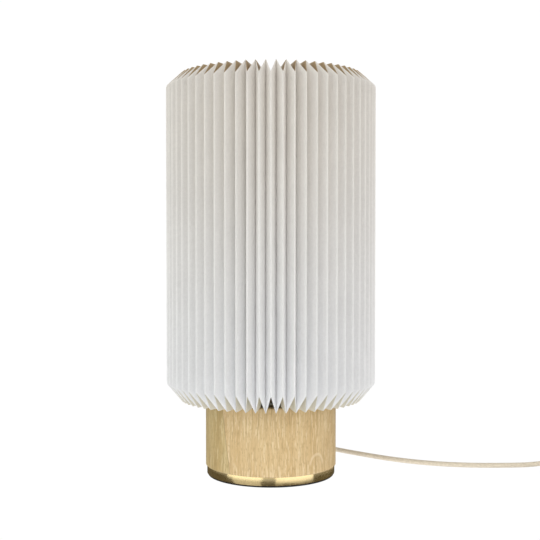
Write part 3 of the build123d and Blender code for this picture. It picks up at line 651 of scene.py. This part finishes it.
def pleated_sheet_tree():
    """A grid laid round as a folded wall, its ends creased on a bevel and folded back to an opening.

    A column's share is 0 on an outer fold and 1 on an inner one. The rows run from the upper opening
    over the upper crease and down the wall to the lower crease and the lower opening."""
    labels = ("Outer radius", "Inner radius", "Opening radius", "Bottom", "Top", "Bottom bevel", "Top bevel")
    labels += ("Outer fold dip", "Inner fold dip", "Fold softness", "Unevenness")
    kinds = {"Pleats": "Int", **dict.fromkeys(labels, "Float"), "Paper": "Material"}
    tree, sizes = new_tree("pleated sheet", kinds)
    steps, end_rows, wall_rows = 8, 6, 14
    rows = 2 * end_rows + wall_rows
    panels = sizes["Pleats"] * 2.0
    counts = {"Vertices X": panels * float(steps) + 1.0, "Vertices Y": rows + 1}
    grid = flow(tree, "GeometryNodeMeshGrid", {"Size X": 1.0, "Size Y": 1.0, **counts})
    round_it, up = parted(flow(tree, "GeometryNodeInputPosition"))[:2]
    row = (0.5 - up) * float(rows)

    # the column's panel, and its share of the way from the outer to the inner fold
    column = (round_it + 0.5) * panels
    panel = calc("FLOOR", calc("MINIMUM", column, panels - 0.001))
    closer = 0.5 - calc("COSINE", (column - panel) * math.pi) * 0.5
    odd = calc("MODULO", panel, 2.0)
    share = between(odd, closer, 1.0 - closer)
    left = 1.0 - share
    soft = sizes["Fold softness"]
    from_outer = calc("SQRT", share * share + soft * soft)
    from_inner = calc("SQRT", left * left + soft * soft)
    softened = from_outer - from_inner + left

    # the two folds beside the column, as directions from the axis
    half_pleat = 2 * math.pi / panels

    def direction(fold):
        angle = fold * half_pleat - math.pi / 2
        return calc("COSINE", angle), calc("SINE", angle)

    outer_radius, inner_radius = sizes["Outer radius"], sizes["Inner radius"]
    opening = sizes["Opening radius"]
    pull = (share - softened) * (outer_radius - inner_radius)
    from_middle = abs(row - rows / 2)
    beyond = from_middle - wall_rows / 2
    inwards = clamped(beyond / float(end_rows))
    level = []
    for outer, inner in zip(direction(panel + odd), direction(panel + (1.0 - odd))):
        wall = between(share, outer * outer_radius, inner * inner_radius)
        wall = wall + between(share, outer, inner) * pull
        edge = between(share, outer * opening, inner * opening)
        level.append(between(inwards, wall, edge))

    # heights, worked out for the upper half and mirrored for the lower one
    middle = (sizes["Bottom"] + sizes["Top"]) * 0.5
    half = sizes["Top"] - middle
    bevel_here = between(calc("LESS_THAN", row, rows / 2), sizes["Bottom bevel"], sizes["Top bevel"])
    crease = between(softened, half - bevel_here, half)
    outer_edge = half - bevel_here - (outer_radius - opening) * sizes["Outer fold dip"]
    inner_edge = half - (inner_radius - opening) * sizes["Inner fold dip"]
    up_wall = clamped(from_middle / (wall_rows / 2))
    rise = between(inwards, crease * up_wall, between(softened, outer_edge, inner_edge))
    side = calc("SIGN", rows / 2 - row)
    marks = {"Geometry": grid, "Name": "turned in", "Value": calc("GREATER_THAN", beyond, 0.25) * side}
    marked = flow(tree, "GeometryNodeStoreNamedAttribute", marks, data_type="FLOAT", domain="FACE")
    places = {"Geometry": marked, "Position": joined(level[0], level[1], middle + rise * side)}
    folded = flow(tree, "GeometryNodeSetPosition", places)

    # hand-folded paper: each fold wanders a little from its place
    at = stretched(flow(tree, "GeometryNodeInputPosition"), (1.0, 1.0, 0.03))
    values = {"Vector": at, "Scale": 70.0, "Detail": 1.0, "W": 3.0}
    clouds = flow(tree, "ShaderNodeTexNoise", values, "Color", noise_dimensions="4D")
    centred = flow(tree, "ShaderNodeVectorMath", {0: clouds, 1: (0.5, 0.5, 0.5)}, operation="SUBTRACT")
    drift = scaled(stretched(centred, (1.0, 1.0, 0.2)), sizes["Unevenness"])
    settled = flow(tree, "GeometryNodeSetPosition", {"Geometry": folded, "Offset": drift})
    closed = flow(tree, "GeometryNodeMergeByDistance", {"Geometry": settled, "Distance": 0.00002})
    return finished_tree(tree, closed, sizes["Paper"])


shade_outer, shade_inner, opening_radius = 0.1255, 0.1070, 0.0702
shade_bottom, shade_top = 0.0898, 0.4797
bottom_bevel, top_bevel = 0.0220, 0.0165
paper_thickness = 0.0004
# the paper's own white, and painted shade colours: darker and warmer at the top, warm brown and cream on the
# folded-in ends, warm on the inside face
white_sheet, top_shaded_sheet = (0.912, 0.920, 0.935), (0.850, 0.825, 0.790)
cream_edge_and_lower_end_shade, top_end_painted_shade, inside_painted_shade = (0.80, 0.78, 0.69), (0.55, 0.42, 0.26), (0.80, 0.74, 0.64)
inner_fold_dark = (0.64, 0.58, 0.48)


def paper_group():
    """Stiff matt paper: fine fibres, faint mottling, and a painted highlight along the folds.

    It is painted darker and warmer towards the top, as painted shade, and the folded-in ends carry painted
    shade: warm brown at the top, paler towards the opening, and cream at the bottom. The inner folds are
    painted lighter and the outer ones darker, painted light against the shade in the valleys, and a darker,
    browner line runs along the inner folds."""
    colours = ("Colour", "Top shade colour", "Top end shade colour", "Bottom end shade colour")
    tree, given = skin_group("folded paper", colours, ["Turned in"])
    place = object_place(tree)
    x, y, z = parted(place)
    reach = length(joined(x, y))
    fibres = noise(stretched(place, (1900, 1900, 1100)), 1.0, 4.0)
    mottle = noise(place, 260.0, 3.0)
    clouds = noise(place, 14.0, 2.0)
    # painted shade: the paper is painted darker and warmer towards the top
    tinted = blended(stepped(z, 0.09, 0.48), given["Colour"], given["Top shade colour"])
    # painted light: the inner folds are painted lighter and the outer folds darker, against the shade that
    # falls in the valleys
    tinted = scaled(tinted, stepped(reach, shade_inner, 0.1235, 1.06, 0.94))
    # a darker, browner line along the inner folds
    tinted = blended(stepped(reach, shade_inner, shade_inner + 0.0018, 0.32, 0.0), tinted, inner_fold_dark)
    # painted shade on the folded-in ends: warm brown at the top, paler towards the opening, and cream at the
    # bottom
    top_end_shade = blended(stepped(reach, 0.082, 0.106), inside_painted_shade, given["Top end shade colour"])
    tinted = blended(stepped(given["Turned in"], 0.4, 0.6), tinted, top_end_shade)
    tinted = blended(stepped(given["Turned in"], -0.6, -0.4, 1.0, 0.0), tinted, given["Bottom end shade colour"])
    patches = stepped(mottle, 0.35, 0.65, -0.014, 0.014) + stepped(clouds, 0.3, 0.7, 0.988, 1.012)
    base = scaled(tinted, stepped(fibres, 0.35, 0.65, -0.022, 0.022) + patches)

    # painted highlight along the outer folds, and along the slanting creases where the ends turn in
    fold_highlight = stepped(reach, 0.1238, 0.1250, 0.0, 0.8)
    for end, rise in ((shade_bottom, bottom_bevel), (shade_top, -top_bevel)):
        from_crease = abs(z - stepped(reach, shade_inner, shade_outer, end, end + rise))
        fold_highlight = calc("MAXIMUM", fold_highlight, stepped(from_crease, 0.0003, 0.0009, 0.8, 0.0))
    base = blended(fold_highlight, base, scaled(base, 1.08))
    rough = stepped(mottle, 0.3, 0.7, 0.72, 0.84)
    return given_out(tree, base, rough, bumped(fibres, 0.35, 0.00006))


folded_paper = paper_group()


def paper(name, colour, top_shade, top, bottom):
    """One side or the edge of the sheet, with its own colours and its own painted shade colours for the
    folded-in ends.
    """
    material, surface = new_material(name)
    turned_in = flow(surface.id_data, "ShaderNodeAttribute", output="Fac", attribute_name="turned in")
    colours = {"Colour": colour, "Top shade colour": top_shade, "Top end shade colour": top, "Bottom end shade colour": bottom}
    covered(surface, folded_paper, {**colours, "Turned in": turned_in})
    fill(surface, {"Specular IOR Level": 0.3})
    return material


# each side and the cut edge carry their own painted shade colours for the folded-in ends
paper_outside = paper("pleated paper", white_sheet, top_shaded_sheet, top_end_painted_shade, cream_edge_and_lower_end_shade)
# the inside face is painted darker and warmer than the outside, as painted shade
paper_inside = paper("pleated paper, inside", inside_painted_shade, inside_painted_shade, (0.60, 0.48, 0.32), cream_edge_and_lower_end_shade)
paper_edge = paper("pleated paper, cut edge", cream_edge_and_lower_end_shade, cream_edge_and_lower_end_shade, (0.66, 0.54, 0.36), cream_edge_and_lower_end_shade)


def end_dip(reach):
    """How steeply a fold runs down, going inwards, past its crease: paper doesn't stretch."""
    return math.tan(math.pi / 2 - 2 * math.atan2(top_bevel, reach))


# how deep a pleat is, straight in from an outer fold and straight out from an inner one
outer_fold_reach, inner_fold_reach = 0.0178, 0.0175
sheet_sizes = {
    "Pleats": 60,
    "Outer radius": shade_outer,
    "Inner radius": shade_inner,
    "Opening radius": opening_radius,
    "Bottom": shade_bottom,
    "Top": shade_top,
    "Bottom bevel": bottom_bevel,
    "Top bevel": top_bevel,
    "Outer fold dip": end_dip(outer_fold_reach),
    "Inner fold dip": end_dip(inner_fold_reach),
    "Fold softness": 0.02,
    "Unevenness": 0.0007,
    "Paper": paper_outside,
}
sheet = grown("pleated-shade", pleated_sheet_tree(), sheet_sizes)
build = bmesh.new()
build.from_mesh(sheet.data)
bmesh.ops.recalc_face_normals(build, faces=build.faces)
sharpened(build, 110.0)
build.to_mesh(sheet.data)
build.free()
sheet.data.materials.append(paper_inside)
sheet.data.materials.append(paper_edge)
thick = sheet.modifiers.new("paper thickness", "SOLIDIFY")
thick.thickness = paper_thickness
thick.offset = 0
thick.use_even_offset = False
thick.material_offset = 1
thick.material_offset_rim = 2
fitted(sheet, "shade", "pleated_shade")


# ------------------------------------------------------------------ shade frame
# White powder-coated steel wire, welded: two rings that the paper is glued to, three struts, and three
# arms that run in and down through the lower opening to a flat seat ring over the collar on the drum.

def wire_mesh(tree, curve, thickness, closed_ends=False):
    """Round wire along a curve."""
    section = flow(tree, "GeometryNodeCurvePrimitiveCircle", {"Resolution": 16, "Radius": thickness})
    parts = {"Curve": curve, "Profile Curve": section, "Fill Caps": closed_ends}
    return flow(tree, "GeometryNodeCurveToMesh", parts)


def wire_ring_tree():
    """One ring of wire at a height."""
    kinds = {"Radius": "Float", "Wire": "Float", "Height": "Float", "Coat": "Material"}
    tree, sizes = new_tree("wire ring", kinds)
    circle = flow(tree, "GeometryNodeCurvePrimitiveCircle", {"Resolution": 180, "Radius": sizes["Radius"]})
    wire = wire_mesh(tree, circle, sizes["Wire"])
    places = {"Geometry": wire, "Translation": joined(z=sizes["Height"])}
    return finished_tree(tree, flow(tree, "GeometryNodeTransform", places), sizes["Coat"])


def legs_tree():
    """One bent wire, repeated round the axis, the first at the back."""
    kinds = {"Geometry": "Geometry", "Count": "Int", "Wire": "Float", "Coat": "Material"}
    tree, sizes = new_tree("wires round the axis", kinds)
    bend = {"Curve": sizes["Geometry"], "Radius": 0.006, "Limit Radius": True, "Count": 8}
    bends = flow(tree, "GeometryNodeFilletCurve", bend, mode="POLY")
    wire = wire_mesh(tree, bends, sizes["Wire"], closed_ends=True)
    spots = flow(tree, "GeometryNodePoints", {"Count": sizes["Count"]})
    turn = flow(tree, "GeometryNodeInputIndex") * (2 * math.pi) / sizes["Count"] + math.pi / 2
    rotation = flow(tree, "FunctionNodeEulerToRotation", {0: joined(z=turn)})
    parts = {"Points": spots, "Instance": wire, "Rotation": rotation}
    return finished_tree(tree, flow(tree, "GeometryNodeInstanceOnPoints", parts), sizes["Coat"])


def wire_line(name, points):
    """A straight-run curve through a few points, in metres."""
    data = bpy.data.curves.new(name, "CURVE")
    data.dimensions = "3D"
    spline = data.splines.new("POLY")
    spline.points.add(len(points) - 1)
    for point, place in zip(spline.points, points):
        point.co = (*place, 1)
    return data


white_coat = moulded("white powder coat", (0.80, 0.80, 0.78), 0.45, 0.0007, 0.00003)
wire_ring = wire_ring_tree()
legs = legs_tree()
ring_radius, ring_wire, arm_wire = 0.1044, 0.0015, 0.0020
top_ring_height, bottom_ring_height = 0.455, 0.118
for name, node, height in (
    ("shade-top-ring", "shade_top_ring", top_ring_height),
    ("shade-bottom-ring", "shade_bottom_ring", bottom_ring_height),
):
    values = {"Radius": ring_radius, "Wire": ring_wire, "Height": height, "Coat": white_coat}
    fitted(grown(name, wire_ring, values), "shade", node)

arm_height = bottom_ring_height + 0.0032
weld = 0.0010
strut = wire_line("strut", [(ring_radius, 0, arm_height + weld), (ring_radius, 0, top_ring_height - weld)])
struts = grown("shade-struts", legs, {"Count": 3, "Wire": ring_wire, "Coat": white_coat}, strut)
fitted(struts, "shade", "shade_struts")
over_seat, drop_radius = 0.0952, 0.0590
arm_points = [(0.0510, 0, over_seat), (drop_radius, 0, over_seat)]
arm_points += [(drop_radius, 0, arm_height), (0.1058, 0, arm_height)]
arm = wire_line("arm", arm_points)
arms = grown("shade-arms", legs, {"Count": 3, "Wire": arm_wire, "Coat": white_coat}, arm)
fitted(arms, "shade", "shade_arms")
seat_outline = [(0.0500, 0.0913), (0.0503, 0.0910), (0.0567, 0.0910), (0.0570, 0.0913)]
seat_outline += [(0.0570, 0.0932), (0.0567, 0.0935), (0.0503, 0.0935), (0.0500, 0.0932)]
seat = turned("seat-ring", seat_outline, white_coat)
fitted(seat, "shade", "seat_ring")


# ------------------------------------------------------------------ cord and strain relief
# A round two-core flex in a braided beige textile cover, 6 mm thick and 1.8 m long. It leaves the back
# of the drum through a tapered relief, lies on the table, and passes a rocker switch and a put-away coil.

ivory_rubber = moulded("ivory rubber", (0.70, 0.62, 0.47), 0.55, 0.0005, 0.00002)
exit_height, relief_end = 0.0240, 0.1019
relief_outline = [(0.00325, 0.0560), (0.0050, 0.0560), (0.0050, 0.0751), (0.0074, 0.0751), (0.0076, 0.0753)]
relief_outline += [(0.0076, 0.0777), (0.0073, 0.0779), (0.0059, 0.0782)]
for k in range(5):
    start = 0.0788 + 0.0044 * k
    wide = 0.0057 - 0.00028 * k
    relief_outline += [(wide, start), (wide, start + 0.0022), (wide - 0.0006, start + 0.0026)]
    relief_outline += [(wide - 0.0006, start + 0.0040)]
relief_outline += [(0.0043, 0.1010), (0.0041, relief_end), (0.0033, relief_end), (0.00325, 0.1015)]
relief = turned("strain-relief", relief_outline, ivory_rubber, 64)
relief.data.transform(Matrix.Translation((0, 0, exit_height)) @ Matrix.Rotation(math.radians(-90), 4, "X"))
fitted(relief, "base", "strain_relief")
finish_nodes(zinc_steel, "relief_nut")


def braid_group():
    """A braided cover, with painted shade in the grooves between strands, from the place along the cord, in
    metres, and round it, from 0 to 1.
    """
    tree, given = skin_group("braided cover", ["Colour", "Groove shade colour"], ["Along", "Round"])
    strand_pitch, strands_round = 0.0024, 8
    along = given["Along"] * (2 * math.pi / strand_pitch)
    round_it = given["Round"] * (2 * math.pi * strands_round)
    strands = abs(calc("SINE", along + round_it) * calc("SINE", along - round_it))
    thread = calc("SINE", (along + round_it) * 5.0)
    height = calc("POWER", strands, 0.5) + thread * 0.08
    clouds = noise(joined(given["Along"] * 300.0, given["Round"] * 6.0), 1.0, 3.0)
    # painted shade: the grooves between the strands are painted darker
    groove = stepped(strands, 0.05, 0.45, 1.0, 0.0)
    colour = blended(groove, given["Colour"], given["Groove shade colour"])
    shade = scaled(colour, stepped(clouds, 0.3, 0.7, 0.93, 1.05))
    rough = stepped(clouds, 0.3, 0.7, 0.72, 0.88)
    return given_out(tree, shade, rough, bumped(height, 0.7, 0.00025))


def braided(name, colour, groove_shade_colour):
    """The textile cover, laid on by the tube's own map: along it in metres, and round it."""
    material, surface = new_material(name)
    along, round_it = parted(flow(surface.id_data, "ShaderNodeUVMap", uv_map="laid on"))[:2]
    places = {"Along": along, "Round": round_it}
    covered(surface, braid, {**places, "Colour": colour, "Groove shade colour": groove_shade_colour})
    fill(surface, {"Sheen Weight": 0.35, "Sheen Roughness": 0.5})
    return material


def route_line(name, points):
    """The points that a smooth NURBS spline passes, for these control points."""
    data = bpy.data.curves.new(name, "CURVE")
    data.dimensions = "3D"
    data.resolution_u = 8
    spline = data.splines.new("NURBS")
    spline.points.add(len(points) - 1)
    for point, place in zip(spline.points, points):
        point.co = (*place, 1)
    spline.order_u = 3
    spline.use_endpoint_u = True
    source = placed(name, data)
    line = mesh_of(source)
    passed = [vertex.co.copy() for vertex in line.vertices]
    bpy.data.objects.remove(source)
    bpy.data.meshes.remove(line)
    return passed


def tube_along(name, line, radius, material):
    """A round tube that follows a line without twisting, with a map along and round it."""
    sides = 16
    build = bmesh.new()
    laid = build.loops.layers.uv.new("laid on")
    ways = []
    for k in range(len(line)):
        ahead = line[min(k + 1, len(line) - 1)] - line[max(k - 1, 0)]
        ways.append(ahead.normalized())
    side = ways[0].cross(Vector((0, 0, 1)) if abs(ways[0].z) < 0.9 else Vector((1, 0, 0))).normalized()
    rings, lengths = [], [0.0]
    for k, (place, way) in enumerate(zip(line, ways)):
        side = (side - way * side.dot(way)).normalized()
        other = way.cross(side)
        ring = []
        for j in range(sides):
            angle = 2 * math.pi * j / sides
            ring.append(build.verts.new(place + (side * math.cos(angle) + other * math.sin(angle)) * radius))
        rings.append(ring)
        if k:
            lengths.append(lengths[-1] + (place - line[k - 1]).length)
    for k in range(len(rings) - 1):
        for j in range(sides):
            corners = (rings[k][j], rings[k][(j + 1) % sides], rings[k + 1][(j + 1) % sides], rings[k + 1][j])
            face = build.faces.new(corners)
            spots = ((k, j), (k, j + 1), (k + 1, j + 1), (k + 1, j))
            for loop, (row, step) in zip(face.loops, spots):
                loop[laid].uv = (lengths[row], step / sides)
    build.faces.new(rings[0][::-1])
    build.faces.new(rings[-1])
    return closed_up(name, build, material, 60.0)


braid = braid_group()
cord_textile = braided("beige textile", (0.94, 0.86, 0.71), (0.80, 0.69, 0.53))
cord_radius = 0.003
cord_level = 0.0032      # its centre where it lies on the table
switch_level, plug_level = 0.0095, 0.0070

# from the relief down to the table, round to the lamp's right side, and along to the switch
cord_route = [
    (0.0000, relief_end, exit_height),
    (0.0000, 0.1140, exit_height),
    (0.0060, 0.1330, 0.0215),
    (0.0210, 0.1470, 0.0155),
    (0.0410, 0.1510, 0.0090),
    (0.0610, 0.1440, 0.0042),
    (0.0870, 0.1190, cord_level),
    (0.1190, 0.0890, cord_level),
    (0.1560, 0.0580, cord_level),
    (0.1970, 0.0360, cord_level),
    (0.2410, 0.0250, cord_level),
    (0.2850, 0.0240, cord_level),
    (0.3290, 0.0280, cord_level),
    (0.3640, 0.0300, switch_level),
    (0.3930, 0.0300, switch_level),
    (0.4570, 0.0300, switch_level),
    (0.4710, 0.0300, switch_level),
    (0.4840, 0.0245, 0.0085),
    (0.4945, 0.0140, 0.0067),
    (0.5000, 0.0000, 0.0046),
    (0.5000, -0.0200, cord_level),
]
# the coil: in along the lower layer, up, and out along the upper one
coil_middle = (0.4575, -0.0500)
coil_radius, coil_pitch, coil_rise, coil_turns = 0.0425, 0.0066, 0.0066, 5.25
points_a_turn = 16
spline_draws_in = (3 + math.cos(2 * math.pi / points_a_turn)) / 4
for k in range(1, round(coil_turns * points_a_turn)):
    turned_by = k / points_a_turn
    radius = (coil_radius - coil_pitch * min(turned_by, coil_turns - turned_by)) / spline_draws_in
    climbed = min(max(turned_by - coil_turns / 2 + 0.25, 0.0), 0.5) * 2
    height = cord_level + coil_rise * (1 - math.cos(math.pi * climbed)) / 2
    angle = -2 * math.pi * turned_by
    cord_route.append(
        (coil_middle[0] + radius * math.cos(angle), coil_middle[1] + radius * math.sin(angle), height)
    )
plug_line = -0.0925
cord_route += [
    (0.4515, plug_line, cord_level + coil_rise),
    (0.4415, plug_line, cord_level + coil_rise),
    (0.4315, plug_line, plug_level),
    (0.4215, plug_line, plug_level),
]
cord_line = route_line("cord-route", cord_route)
cord = tube_along("cord", cord_line, cord_radius, cord_textile)

inner_route = [(0, relief_end, exit_height), (0, 0.070, exit_height), (0, 0.034, exit_height)]
inner_route += [(0, 0.012, 0.030), (0, 0, 0.050), (0, 0, 0.090), (0, 0, 0.182)]
inner = tube_along("inner-cord", route_line("inner-route", inner_route), 0.0029, cord_textile)
fitted(inner, "base", "inner_cord")
brown_core = moulded("brown core", (0.10, 0.035, 0.012), 0.35, 0.0008, 0.00001)
blue_core = moulded("blue core", (0.02, 0.10, 0.35), 0.35, 0.0008, 0.00001)
finish_nodes(brown_core, "live_core")
finish_nodes(blue_core, "neutral_core")


# ------------------------------------------------------------------ rocker switch in the cord
# Two ivory plastic halves screwed together from below, with a rocker on a steel pin
# that tips between its two ends. The cord enters at one end and leaves at the other.

ivory_plastic = moulded("ivory plastic", (0.76, 0.70, 0.57), 0.30, 0.0006, 0.00001)
switch_low = dressed("switch_base", "switch-base", ivory_plastic, "base", 0.0005)
switch_high = dressed("switch_cover", "switch-cover", ivory_plastic, "base", 0.0005)
rocker = dressed("switch_rocker", "switch-rocker", ivory_plastic, "rocker", 0.0003)
finish_nodes(zinc_steel, "switch_pin", "switch_screws")


# ------------------------------------------------------------------ plug
# A flat two-pin plug moulded in ivory plastic onto the end of the cord,
# with a grooved relief and two nickel-plated pins. It lies beside the coil.

nickel = metal("nickel plate", (0.66, 0.64, 0.60), 0.16, 0.0004, 0.000002)
plug = dressed("plug_body", "plug-body", ivory_plastic, "base", 0.0004)
pins = dressed("plug_pins", "plug-pins", nickel, "base")

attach(cord, "base")
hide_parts("cord_run", "cord_link", "cord_coil", "cord_tail")


# ------------------------------------------------------------------ table, light and camera
# A white sweep under and behind the lamp. Soft boxes stand at the left, the right and the front, and one
# hangs behind, in a dim room. Two bright cards show in reflections alone. The camera is level with the shade.

near_glow, far_glow = 0.60, 0.12
glow_colour = (0.97, 0.99, 1.06)
white, full_white = (1, 1, 1), 1.02


def table_material():
    """A white sweep: pure white to the camera and calmer to the lamp, so that it casts no veil.

    Reflections pass through it to the cards below."""
    material, surface = new_material("white sweep")
    tree = surface.id_data
    tree.nodes.remove(surface)
    seen = add(tree, "ShaderNodeLightPath").outputs
    matt = flow(tree, "ShaderNodeBsdfDiffuse", {"Color": (0.80, 0.80, 0.80)})
    # painted light: to the lamp the sweep glows as a pool of light, brightest near the lamp's foot and fading
    # outwards
    bright = stepped(length(object_place(tree)), 0.10, 0.38, near_glow, far_glow)
    glow = flow(tree, "ShaderNodeEmission", {"Color": glow_colour, "Strength": bright})
    lamp_side = flow(tree, "ShaderNodeAddShader", {0: matt, 1: glow})
    see_through = flow(tree, "ShaderNodeBsdfTransparent")
    glossy = Value(seen["Is Glossy Ray"])
    calm = flow(tree, "ShaderNodeMixShader", {0: glossy, 1: lamp_side, 2: see_through})
    plain = flow(tree, "ShaderNodeEmission", {"Color": white, "Strength": full_white})
    either = flow(tree, "ShaderNodeMixShader", {0: Value(seen["Is Camera Ray"]), 1: calm, 2: plain})
    fill(tree.nodes["Material Output"], {"Surface": either})
    return material


floor_half, floor_level = 12.0, -0.0003
build = bmesh.new()
ends = ((-1, -1), (1, -1), (1, 1), (-1, 1))
build.faces.new([build.verts.new((x * floor_half, y * floor_half, floor_level)) for x, y in ends])
floor = made_object("floor", build, table_material())

horizon_colour = (0.36, 0.36, 0.355)
zenith_colour = (0.36, 0.345, 0.32)


def room_light():
    """A dim warm room, pure white to the camera, with two bright cards that only reflections see.

    The cards stand below the edge of the table, and the satin brass shows them as upright bands."""
    world = bpy.data.worlds.new("room")
    bpy.context.scene.world = world
    world.use_nodes = True
    tree = world.node_tree
    tree.nodes.clear()
    seen = add(tree, "ShaderNodeLightPath").outputs
    x, y, up = parted(flow(tree, "ShaderNodeTexCoord", output="Generated"))
    sky = blended(stepped(up, 0.0, 0.7), horizon_colour, zenith_colour)
    dim = flow(tree, "ShaderNodeBackground", {"Color": sky, "Strength": 1.0})

    bearing = calc("ARCTAN2", x, y * -1.0) * (180 / math.pi)
    level = stepped(abs(bearing), 60.0, 125.0, 0.06, 0.11)
    for near, far, brightness in ((-18.5, -72.0, 0.51), (6.0, 76.0, 0.11)):
        middle, reach = (near + far) / 2, abs(far - near) / 2
        card = stepped(abs(bearing - middle), reach - 2.0, reach + 2.0, brightness, 0.0)
        level = calc("MAXIMUM", level, card)
    tint = blended(stepped(level, 0.08, 0.20), (1.0, 0.82, 0.46), (1.0, 0.96, 0.87))
    cards = flow(tree, "ShaderNodeBackground", {"Color": tint, "Strength": level})
    below = Value(seen["Is Glossy Ray"]) * calc("LESS_THAN", up, 0.0)
    unseen = flow(tree, "ShaderNodeMixShader", {0: below, 1: dim, 2: cards})
    plain = flow(tree, "ShaderNodeBackground", {"Color": white, "Strength": full_white})
    either = flow(tree, "ShaderNodeMixShader", {0: Value(seen["Is Camera Ray"]), 1: unseen, 2: plain})
    add(tree, "ShaderNodeOutputWorld", {"Surface": either})


room_light()


def soft_box(name, middle, width, height, power, colour, aim=(0, 0, 0.24)):
    """A rectangular light that faces the lamp."""
    data = bpy.data.lights.new(name, "AREA")
    data.shape = "RECTANGLE"
    data.size, data.size_y = width, height
    data.energy = power
    data.color = colour
    light = placed(name, data)
    light.location = middle
    light.rotation_euler = (Vector(aim) - Vector(middle)).to_track_quat("-Z", "Y").to_euler()
    light.visible_camera = False


def standing_box(name, near, far, distance, middle_height, power, colour):
    """A tall box that fills the view from one bearing to another, in degrees from the camera's."""
    ends = []
    for bearing in (near, far):
        angle = math.radians(bearing)
        ends.append(Vector((math.sin(angle), -math.cos(angle), 0)) * distance)
    x, y = ((ends[0] + ends[1]) / 2)[:2]
    width = (ends[1] - ends[0]).length
    soft_box(name, (x, y, middle_height), width, 1.3, power, colour, (0, 0, middle_height))


standing_box("left box", -13, -80, 1.15, 0.60, 5.5, (0.99, 1.0, 0.965))
standing_box("right box", 8, 78, 1.15, 0.40, 5.8, (1.0, 0.985, 0.96))
standing_box("front box", -12, 7, 1.7, 0.55, 0.8, (1.0, 0.99, 0.96))
soft_box("back box", (0.0, 1.3, 1.0), 1.6, 0.8, 2.5, (1.0, 0.99, 0.97))

camera_data = bpy.data.cameras.new("camera")
camera_data.lens = 66.4
camera_data.sensor_width = 36.0
camera_data.clip_start = 0.05
camera = placed("camera", camera_data)
camera.location = (-0.0010, -1.202, 0.279)
looks_down = 1.58      # degrees below level
camera.rotation_euler = (math.radians(90 - looks_down), 0, 0)
bpy.context.scene.camera = camera
bpy.context.scene.view_settings.view_transform = "Standard"
